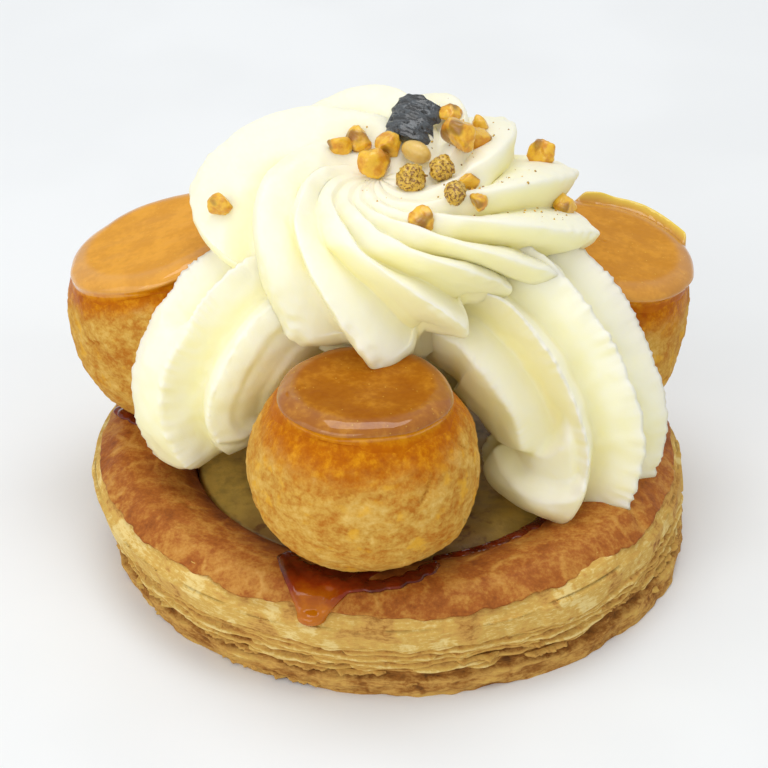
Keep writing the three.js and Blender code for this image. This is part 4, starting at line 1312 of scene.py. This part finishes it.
def cream_material(settings):
    """Whipped cream: soft and pale, with yellow painted shade deep in creases and where it faces down or in
    towards the cake.
    """
    look = Material("Cream", Roughness=0.5, Specular_IOR_Level=0.3, Subsurface_Weight=0.5,
                    Subsurface_Scale=0.005, Subsurface_Radius=(1, 0.95, 0.6))
    upwards = look.parts(look.add("ShaderNodeNewGeometry").outputs["Normal"])[2]
    tone = settings.cream
    # Painted shade: yellower on faces turned down, on sides turned in towards the cake and deep in the
    # creases; the last mix is random yellow patches
    for yellow in (
            look.between(upwards, 0.5, -0.35, 0, 0.5), look.between(look.painted("inward"), 0, 0.9, 0, 0.6),
            look.between(look.painted("crease"), 0.6, 1, 0, 0.28),
            look.between(look.noise(7, 3), 0.45, 0.75, 0, 0.12)):
        tone = look.mix(yellow, tone, settings.crease)
    look.set("Base Color", tone)
    look.relief(look.noise(1.3, 4, 0.6), 0.05)
    look.relief(look.cells(1.7), 0.03)
    return look.data


def shell_path(shell):
    """The middle of a shell's rope as a line of points that hold its half thickness."""
    count = 160
    along = np.linspace(0, 1, count)
    radii = through([(radius,) for radius in shell["radii"]], along)[:, 0]
    from_end = np.clip(np.minimum(along, 1 - along) / SHELL_END, 0, 1)
    mesh = new_mesh("shell_path", drawn(shell["path"], count), [(i, i + 1) for i in range(count - 1)])
    paint(mesh, {"half_thickness": radii * np.sqrt(1 - (1 - from_end) ** 2) * MM})
    return mesh


def merged_ridges(growth, lobes, count, along, valley, crest):
    """Valleys and crests of a shell once some ridges have merged into lobes."""
    for i in range(lobes):
        middle, half_width, begins, level = (growth.given(f"{key} {i}") for key in LOBE)
        gap = growth.math("ABSOLUTE", growth.minus(count, middle))
        off = growth.math("MINIMUM", gap, growth.minus(growth.given("Ridges"), gap))
        near = growth.between(off, growth.plus(half_width, LOBE_EDGE), half_width)
        across = growth.math("MINIMUM", growth.math("DIVIDE", off, half_width), 1.0)
        bowed = growth.times(growth.math("GREATER_THAN", begins, 0.0), LOBE_BOW)
        bow = growth.times(growth.minus(1.0, growth.times(across, across)), bowed)
        late = growth.between(growth.minus(along, bow), begins, growth.plus(begins, LOBE_STEP))
        merged = growth.times(near, late)
        valley = growth.math("MULTIPLY_ADD", merged, growth.minus(level, valley), valley)
        crest = growth.times(crest, growth.minus(1.0, growth.math("POWER", merged, LOBE_SMOOTHING)))
    return valley, crest


def make_shell(name, settings, material):
    """A rope of cream with sharp ridges, drawn from under the rosette out and down to the base."""
    shell = SHELLS[name]
    out_x, out_y = shell["path"][2][:2]
    size = math.hypot(out_x, out_y)
    lobes = {f"{key} {i}": float(value) for i, lobe in enumerate(shell["lobes"])
             for key, value in zip(LOBE, lobe)}
    growth = Growth(
        "Cream shell", Ridges=SHELL_RIDGES, Valley=shell["valley"], Groove=float(settings.groove),
        Width=float(settings.width), Start=math.radians(shell["start"]), Turn=math.radians(shell["turn"]),
        Serration=float(settings.serration), Columns=24 * SHELL_RIDGES + 1, Rows=170,
        Sideways=(-out_y / size, out_x / size, 0.0), **lobes)
    sheet = growth.add("GeometryNodeMeshGrid", {
        "Size X": 1, "Size Y": 1, "Vertices X": growth.given("Columns"),
        "Vertices Y": growth.given("Rows")}).outputs[0]
    corner = growth.parts(growth.place())
    around, along = growth.plus(corner[0], 0.5), growth.plus(corner[1], 0.5)

    # The rope gives the middle, the direction and the half thickness at each place along it
    rope = growth.add("GeometryNodeMeshToCurve", {"Mesh": growth.given("Geometry")}).outputs[0]
    sample = growth.add(
        "GeometryNodeSampleCurve",
        {"Curves": rope, "Value": growth.named("half_thickness"), "Factor": along},
        data_type="FLOAT", mode="FACTOR").outputs
    half, down = sample["Value"], sample["Tangent"]
    overlap = growth.vector("DOT_PRODUCT", growth.given("Sideways"), down)
    side = growth.vector("SUBTRACT", growth.given("Sideways"), growth.scaled(down, overlap))
    side = growth.vector("NORMALIZE", side)
    out = growth.vector("CROSS_PRODUCT", down, side)

    # Ridges and valleys take turns round the rope, and crests are scalloped
    count = growth.times(around, growth.given("Ridges"))
    place = growth.math("FRACT", count)
    past = growth.math("DIVIDE", place, growth.given("Valley"))
    ahead = growth.math("DIVIDE", growth.minus(1.0, place), growth.minus(1.0, growth.given("Valley")))
    valley = growth.math("SINE", growth.times(growth.math("MINIMUM", past, ahead), math.pi / 2))
    crest = growth.math("POWER", growth.minus(1.0, valley), 3.0)
    valley, crest = merged_ridges(growth, len(shell["lobes"]), count, along, valley, crest)
    radius = growth.times(half, growth.minus(1.0, growth.times(growth.given("Groove"), valley)))
    ridge = growth.math("MODULO", growth.math("ROUND", count), growth.given("Ridges"))
    spot = growth.joined(growth.times(along, 0.05), ridge)
    scallop = growth.times(growth.noise(spot, 0.75, 2.0), crest, growth.given("Serration"))
    fullness = growth.math("MINIMUM", 1.0, growth.times(half, 1 / (3 * MM)))
    radius = growth.plus(radius, growth.times(scallop, fullness))

    # Each point goes out from the middle, then a little astray
    turned = growth.math("MULTIPLY_ADD", along, growth.given("Turn"), growth.given("Start"))
    angle = growth.math("MULTIPLY_ADD", around, TURN, turned)
    cosine = growth.math("COSINE", angle)
    wide = growth.times(radius, growth.given("Width"))
    reach_out = growth.scaled(out, growth.times(radius, cosine))
    reach_side = growth.scaled(side, growth.times(wide, growth.math("SINE", angle)))
    spot = growth.vector("ADD", growth.vector("ADD", sample["Position"], reach_out), reach_side)
    uneven = growth.add("ShaderNodeTexNoise", {"Vector": spot, "Scale": 1 / (8 * MM), "Detail": 2.0})
    push = growth.scaled(growth.vector("SUBTRACT", uneven.outputs["Color"], (0.5, 0.5, 0.5)), 1.6 * MM)
    # Valley depth and how far a face turns in, painted as yellow shade by the material
    marked = growth.stored(sheet, "crease", valley)
    marked = growth.stored(marked, "inward", growth.times(cosine, -1.0))
    shaped = growth.moved(marked, growth.vector("ADD", spot, growth.scaled(push, fullness)))
    closed = growth.add("GeometryNodeMergeByDistance", {"Geometry": shaped, "Distance": 0.002 * MM})
    thing = add_object(f"cream_shell_piped_{name}", shell_path(shell))
    return growth.run(thing, closed.outputs[0], material)


def make_cream(settings):
    """The rosette and the three shells."""
    material = cream_material(settings)
    settled(make_rosette(settings), material, "cream", "cream_rosette")
    for name in SHELLS:
        settled(make_shell(name, settings, material), material, "cream", f"cream_shell_{name}")


# Toppings

def chip_mesh(name, seed, kind):
    """A bit of topping about one unit across: a knobbly chip, a rough ball or a smooth half nut."""
    direction, faces = ball(4)
    draw = np.random.default_rng(seed)
    stretch = (1, 1, 1)
    if kind == AMBER:
        planes = draw.normal(size=(CHIP_PLANES, 3))
        planes /= np.linalg.norm(planes, axis=1)[:, None]
        offsets = draw.uniform(0.34, 0.56, CHIP_PLANES)
        pull = np.clip(direction @ planes.T / offsets, 1e-3, None)
        radius = np.minimum((pull ** 8).sum(axis=1) ** (-1 / 8), 0.7)
        radius = radius * (1 + 0.16 * rough(direction, 0.7, seed) + 0.05 * bumps(direction, 0.2, seed))
    elif kind == GOLD:
        radius = 0.46 * (1 + 0.3 * rough(direction, 0.8, seed) + 0.14 * bumps(direction, 0.17, seed + 5))
    else:
        radius = 0.5 + 0.02 * bumps(direction, 0.6, seed)
        stretch = (1.15, 0.8, 0.72)
    return new_mesh(name, direction * radius[:, None] * stretch, faces=faces, scale=1)


def make_nuts(rosette, material):
    """Nuts set on the cream where they lie, each turned its own way."""
    variants = [add_object(f"chip_{i}", chip_mesh(f"chip_{i}", NUT_SEED + i, kind))
                for i, kind in enumerate(NUT_SHAPES)]
    kinds = [nut[3] for nut in NUTS]
    picks = {kind: [i for i, other in enumerate(NUT_SHAPES) if other == kind] for kind in NUT_SHAPES}
    mesh = new_mesh("nut_places", [(x, y, NUT_DROP) for x, y, _, _ in NUTS])
    paint(mesh, {
        "size": [size * MM for _, _, size, _ in NUTS], "kind": kinds,
        "variant": [picks[kind][i % len(picks[kind])] for i, kind in enumerate(kinds)]})
    growth = Growth("Nuts", Sink=NUT_SINK, Seed=4)
    cream = growth.add("GeometryNodeObjectInfo", {"Object": rosette}).outputs["Geometry"]
    ray = growth.add("GeometryNodeRaycast", {
        "Target Geometry": cream, "Ray Direction": (0, 0, -1), "Ray Length": 1.0})
    stand = growth.times(growth.minus(0.5, growth.given("Sink")), growth.named("size"))
    spot = growth.vector("ADD", ray.outputs["Hit Position"], growth.joined(z=stand))
    placed = growth.moved(growth.given("Geometry"), spot)
    pieces = growth.add("GeometryNodeJoinGeometry")
    for variant in reversed(variants):
        info = growth.add("GeometryNodeObjectInfo", {"Object": variant, "As Instance": True})
        growth.tree.links.new(info.outputs["Geometry"], pieces.inputs[0])
    index = growth.add("FunctionNodeFloatToInt", {0: growth.named("variant")}).outputs[0]
    nuts = growth.add("GeometryNodeInstanceOnPoints", {
        "Points": placed, "Instance": pieces.outputs[0], "Pick Instance": True, "Instance Index": index,
        "Rotation": growth.any_turn(growth.given("Seed")), "Scale": growth.named("size")}).outputs[0]
    thing = growth.run(add_object("caramelised_nuts", mesh), nuts, material)
    for variant in variants:
        bpy.data.objects.remove(variant)
    return thing


def make_crumbs(settings, rosette, material):
    """Fine crumbs and gold dust scattered over the top of the cream."""
    growth = Growth(
        "Crumbs", Density=CRUMBS_PER_SQUARE / MM ** 2, Size=CRUMB_SIZE * MM, Reach=CRUMB_REACH * MM,
        Seed=int(settings.crumbs))
    seed = growth.given("Seed")
    cream = growth.add("GeometryNodeObjectInfo", {"Object": rosette}).outputs["Geometry"]
    away = growth.vector("SUBTRACT", growth.place(), tuple(value * MM for value in CRUMB_MIDDLE))
    away = growth.vector("LENGTH", growth.vector("MULTIPLY", away, (0.7, 1.0, 1.0)))
    facing = growth.parts(growth.add("GeometryNodeInputNormal").outputs[0])[2]
    near = growth.math("LESS_THAN", away, growth.given("Reach"))
    chosen = growth.times(near, growth.math("GREATER_THAN", facing, CRUMB_FACING))
    points = growth.add("GeometryNodeDistributePointsOnFaces", {
        "Mesh": cream, "Selection": chosen, "Density": growth.given("Density"), "Seed": seed})
    bit = growth.add("GeometryNodeMeshIcoSphere", {"Radius": growth.given("Size"), "Subdivisions": 2})
    size = growth.math("POWER", growth.draw(0.3, 1.0, seed), 2.5)
    crumbs = growth.add("GeometryNodeInstanceOnPoints", {
        "Points": points.outputs[0], "Instance": bit.outputs[0], "Rotation": growth.any_turn(0),
        "Scale": growth.joined(size, growth.times(size, 0.7), growth.times(size, 0.6))}).outputs[0]
    marked = growth.stored(crumbs, "kind", growth.draw(0.0, 1.4, 9), "INSTANCE")
    thing = add_object("praline_crumbs", bpy.data.meshes.new("praline_crumbs"))
    return growth.run(thing, marked, material)


def nut_material(settings):
    """Amber sugar, gold dust or plain nut, by the kind of each piece."""
    look = Material("Caramelised nuts", Roughness=0.28, Coat_Weight=0.3, Coat_Roughness=0.1,
                    Subsurface_Weight=0.15, Subsurface_Scale=0.0015, Subsurface_Radius=(1, 0.75, 0.2))
    amber = look.mix(look.between(look.noise(1.6, 3), 0.42, 0.68), settings.amber, settings.amber_dark)
    amber = look.mix(look.between(look.noise(4, 1), 0.52, 0.64, 0, 0.75), amber, settings.amber_brown)
    dust = look.mix(look.between(look.noise(0.5, 3, 0.7), 0.4, 0.54), settings.amber_brown, settings.gold)
    kind = look.painted("kind")
    colour = look.mix(look.between(kind, 0.4, 0.6), amber, dust)
    look.set("Base Color", look.mix(look.between(kind, 1.4, 1.6), colour, settings.pale))
    look.relief(look.noise(0.4, 3), 0.1)
    return look.data


def turned_about(points, axis, degrees):
    """Points turned about a coordinate axis."""
    angle = math.radians(degrees)
    first, second = [i for i in range(3) if i != axis]
    if axis == 1:
        first, second = second, first
    turned = points.copy()
    turned[..., first] = points[..., first] * math.cos(angle) - points[..., second] * math.sin(angle)
    turned[..., second] = points[..., first] * math.sin(angle) + points[..., second] * math.cos(angle)
    return turned


def make_shard(settings):
    """A curled plate with ridges across it and a broken edge, leaning back on the cream."""
    work = bmesh.new()
    bmesh.ops.create_cube(work, size=1)
    bmesh.ops.subdivide_edges(work, edges=work.edges, cuts=SHARD_CUTS, use_grid_fill=True)
    unit, faces = taken(work)
    box = unit * SHARD_SIZE
    half = np.array(SHARD_SIZE) / 2
    ragged = piled(box * (1, 0.2, 1), (0.5, 1.8, 81), (0.35, 0.7, 82))
    for axis in (0, 2):
        box[:, axis] += ragged * np.sign(box[:, axis]) * (box[:, axis] / half[axis]) ** 4
    bark = rough(bent(box, 0.5, 2, 85, (0.4, 0.3, 1.5)), 1.3, 84)
    _, pit = cell_edges(box * (0.7, 0.3, 1.3), 1.1, 83)
    pits = ease(0.34 - pit, 0, 0.2)
    front = np.where(box[:, 1] < 0, -1, 1)
    face = np.abs(box[:, 1]) > half[1] * 0.99
    inside = ease(box[:, 1], 0.1, 0.6)
    box[:, 1] += front * face * (0.5 * bark - 0.4 * pits)
    angle = box[:, 0] / SHARD_CURL_RADIUS
    radius = SHARD_CURL_RADIUS - box[:, 1]
    curl = [radius * np.sin(angle), SHARD_CURL_RADIUS - radius * np.cos(angle), box[:, 2]]
    points = turned_about(np.stack(curl, axis=-1), 1, SHARD_ROLL)
    points = turned_about(points, 0, SHARD_LEAN)
    points = turned_about(points, 2, SHARD_SWING) + np.array(SHARD_PLACE)
    mesh = new_mesh("dark_curled_shard", points, faces=faces)
    paint(mesh, {"inside": inside, "sunk": np.clip(pits + ease(-bark, 0.05, 0.35), 0, 1)})
    finish_mesh(mesh)
    look = Material("Dark shard", Roughness=0.2, Coat_Weight=1, Coat_Roughness=0.06)
    dark = [0.12 * c for c in settings.shard]
    skin = look.mix(look.between(look.noise(0.9, 4, 0.65), 0.42, 0.7), settings.shard, dark)
    skin = look.mix(look.painted("sunk"), skin, dark)
    look.set("Base Color", look.mix(look.painted("inside"), skin, settings.shard_inside))
    look.relief(look.noise(0.5, 4, 0.65), 0.26)
    settled(add_object("dark_curled_shard", mesh), look.data, "dark_shard", "dark_shard")


def make_toppings(settings):
    """Nuts, crumbs and the dark shard."""
    rosette = bpy.data.objects["cream_rosette_piped"]
    material = nut_material(settings)
    settled(make_nuts(rosette, material), material, "cream", "cream_rosette")
    settled(make_crumbs(settings, rosette, material), material, "cream")
    make_shard(settings)


# Stage

def faced(name, data, place, aim):
    """A light or camera at a place, turned to face a point."""
    thing = bpy.data.objects.new(name, data)
    thing.location = place
    thing.rotation_mode = "QUATERNION"
    thing.rotation_quaternion = (aim - place).to_track_quat("-Z", "Y")
    bpy.context.scene.collection.objects.link(thing)
    return thing


def make_floor(settings):
    """A wide pale floor."""
    half = FLOOR_HALF
    corners = [(-half, -half, 0), (half, -half, 0), (half, half, 0), (-half, half, 0)]
    floor = add_object("floor", new_mesh("floor", corners, faces=[(0, 1, 2, 3)]))
    look = Material("Floor", Roughness=0.6, Specular_IOR_Level=0.2)
    shade = [0.97 * c for c in settings.floor]
    look.set("Base Color", look.mix(look.between(look.noise(60, 2), 0.4, 0.6), settings.floor, shade))
    floor.data.materials.append(look.data)


def make_stage(settings):
    """Pale floor, soft light and the camera."""
    make_floor(settings)
    scene = bpy.context.scene
    aim = Vector(CAMERA_AIM) * MM
    for name, (place, size, power) in LIGHTS.items():
        data = bpy.data.lights.new(name, "AREA")
        data.shape = "RECTANGLE"
        data.size, data.size_y = (side * MM for side in size)
        data.energy = getattr(settings, power)
        faced(name, data, Vector(place) * MM, aim)
    world = bpy.data.worlds.new("studio")
    world.use_nodes = True
    background = world.node_tree.nodes["Background"]
    background.inputs["Color"].default_value = (1, 1, 1, 1)
    background.inputs["Strength"].default_value = settings.sky
    scene.world = world
    scene.view_settings.view_transform = "Standard"

    rise = math.radians(CAMERA_ELEVATION)
    back = Vector((0, -math.cos(rise), math.sin(rise)))
    data = bpy.data.cameras.new("camera")
    data.lens = CAMERA_LENS
    data.sensor_width = CAMERA_SENSOR
    data.clip_start = CAMERA_NEAR * MM
    scene.camera = faced("camera", data, aim + back * CAMERA_DISTANCE * MM, aim)


# Operators and panel

class PASTRY_OT_base(bpy.types.Operator):
    """Puff pastry base with its glazed rim, flaky side, leaves and filling"""
    bl_idname = "pastry.base"
    bl_label = "Puff pastry base"

    def execute(self, context):
        crust = context.scene.pastry.crust
        make_base(crust)
        make_filling(crust)
        return {"FINISHED"}


class PASTRY_OT_buns(bpy.types.Operator):
    """Choux buns with their caramel discs and pools"""
    bl_idname = "pastry.buns"
    bl_label = "Choux buns and caramel"

    def execute(self, context):
        make_buns(context.scene.pastry.buns, context.scene.pastry.crust)
        return {"FINISHED"}


class PASTRY_OT_cream(bpy.types.Operator):
    """Rosette and shells of piped cream"""
    bl_idname = "pastry.cream"
    bl_label = "Piped cream"

    def execute(self, context):
        make_cream(context.scene.pastry.cream)
        return {"FINISHED"}


class PASTRY_OT_toppings(bpy.types.Operator):
    """Caramelised nuts, crumbs and the dark shard"""
    bl_idname = "pastry.toppings"
    bl_label = "Toppings"

    def execute(self, context):
        make_toppings(context.scene.pastry.toppings)
        return {"FINISHED"}


class PASTRY_OT_stage(bpy.types.Operator):
    """Floor, light and camera"""
    bl_idname = "pastry.stage"
    bl_label = "Stage"

    def execute(self, context):
        make_stage(context.scene.pastry.stage)
        return {"FINISHED"}


OPERATORS = (PASTRY_OT_base, PASTRY_OT_buns, PASTRY_OT_cream, PASTRY_OT_toppings, PASTRY_OT_stage)


class PASTRY_PT_panel(bpy.types.Panel):
    """Settings and steps of the pastry"""
    bl_idname = "PASTRY_PT_panel"
    bl_label = "Saint-Honore"
    bl_space_type = "VIEW_3D"
    bl_region_type = "UI"
    bl_category = "Pastry"

    def draw(self, context):
        for group in ("crust", "buns", "cream", "toppings", "stage"):
            settings = getattr(context.scene.pastry, group)
            column = self.layout.column()
            column.label(text=group.capitalize())
            for name in settings.__annotations__:
                column.prop(settings, name)
        for operator in OPERATORS:
            self.layout.operator(operator.bl_idname)


CLASSES = (
    CrustSettings, BunSettings, CreamSettings, ToppingSettings, StageSettings, PastrySettings, *OPERATORS,
    PASTRY_PT_panel,
)


def register():
    for item in CLASSES:
        bpy.utils.register_class(item)
    bpy.types.Scene.pastry = bpy.props.PointerProperty(type=PastrySettings)


def unregister():
    del bpy.types.Scene.pastry
    for item in reversed(CLASSES):
        bpy.utils.unregister_class(item)


def main():
    register()
    bpy.ops.pastry.base()
    bpy.ops.pastry.buns()
    bpy.ops.pastry.cream()
    bpy.ops.pastry.toppings()
    bpy.ops.pastry.stage()


if __name__ == "__main__":
    main()
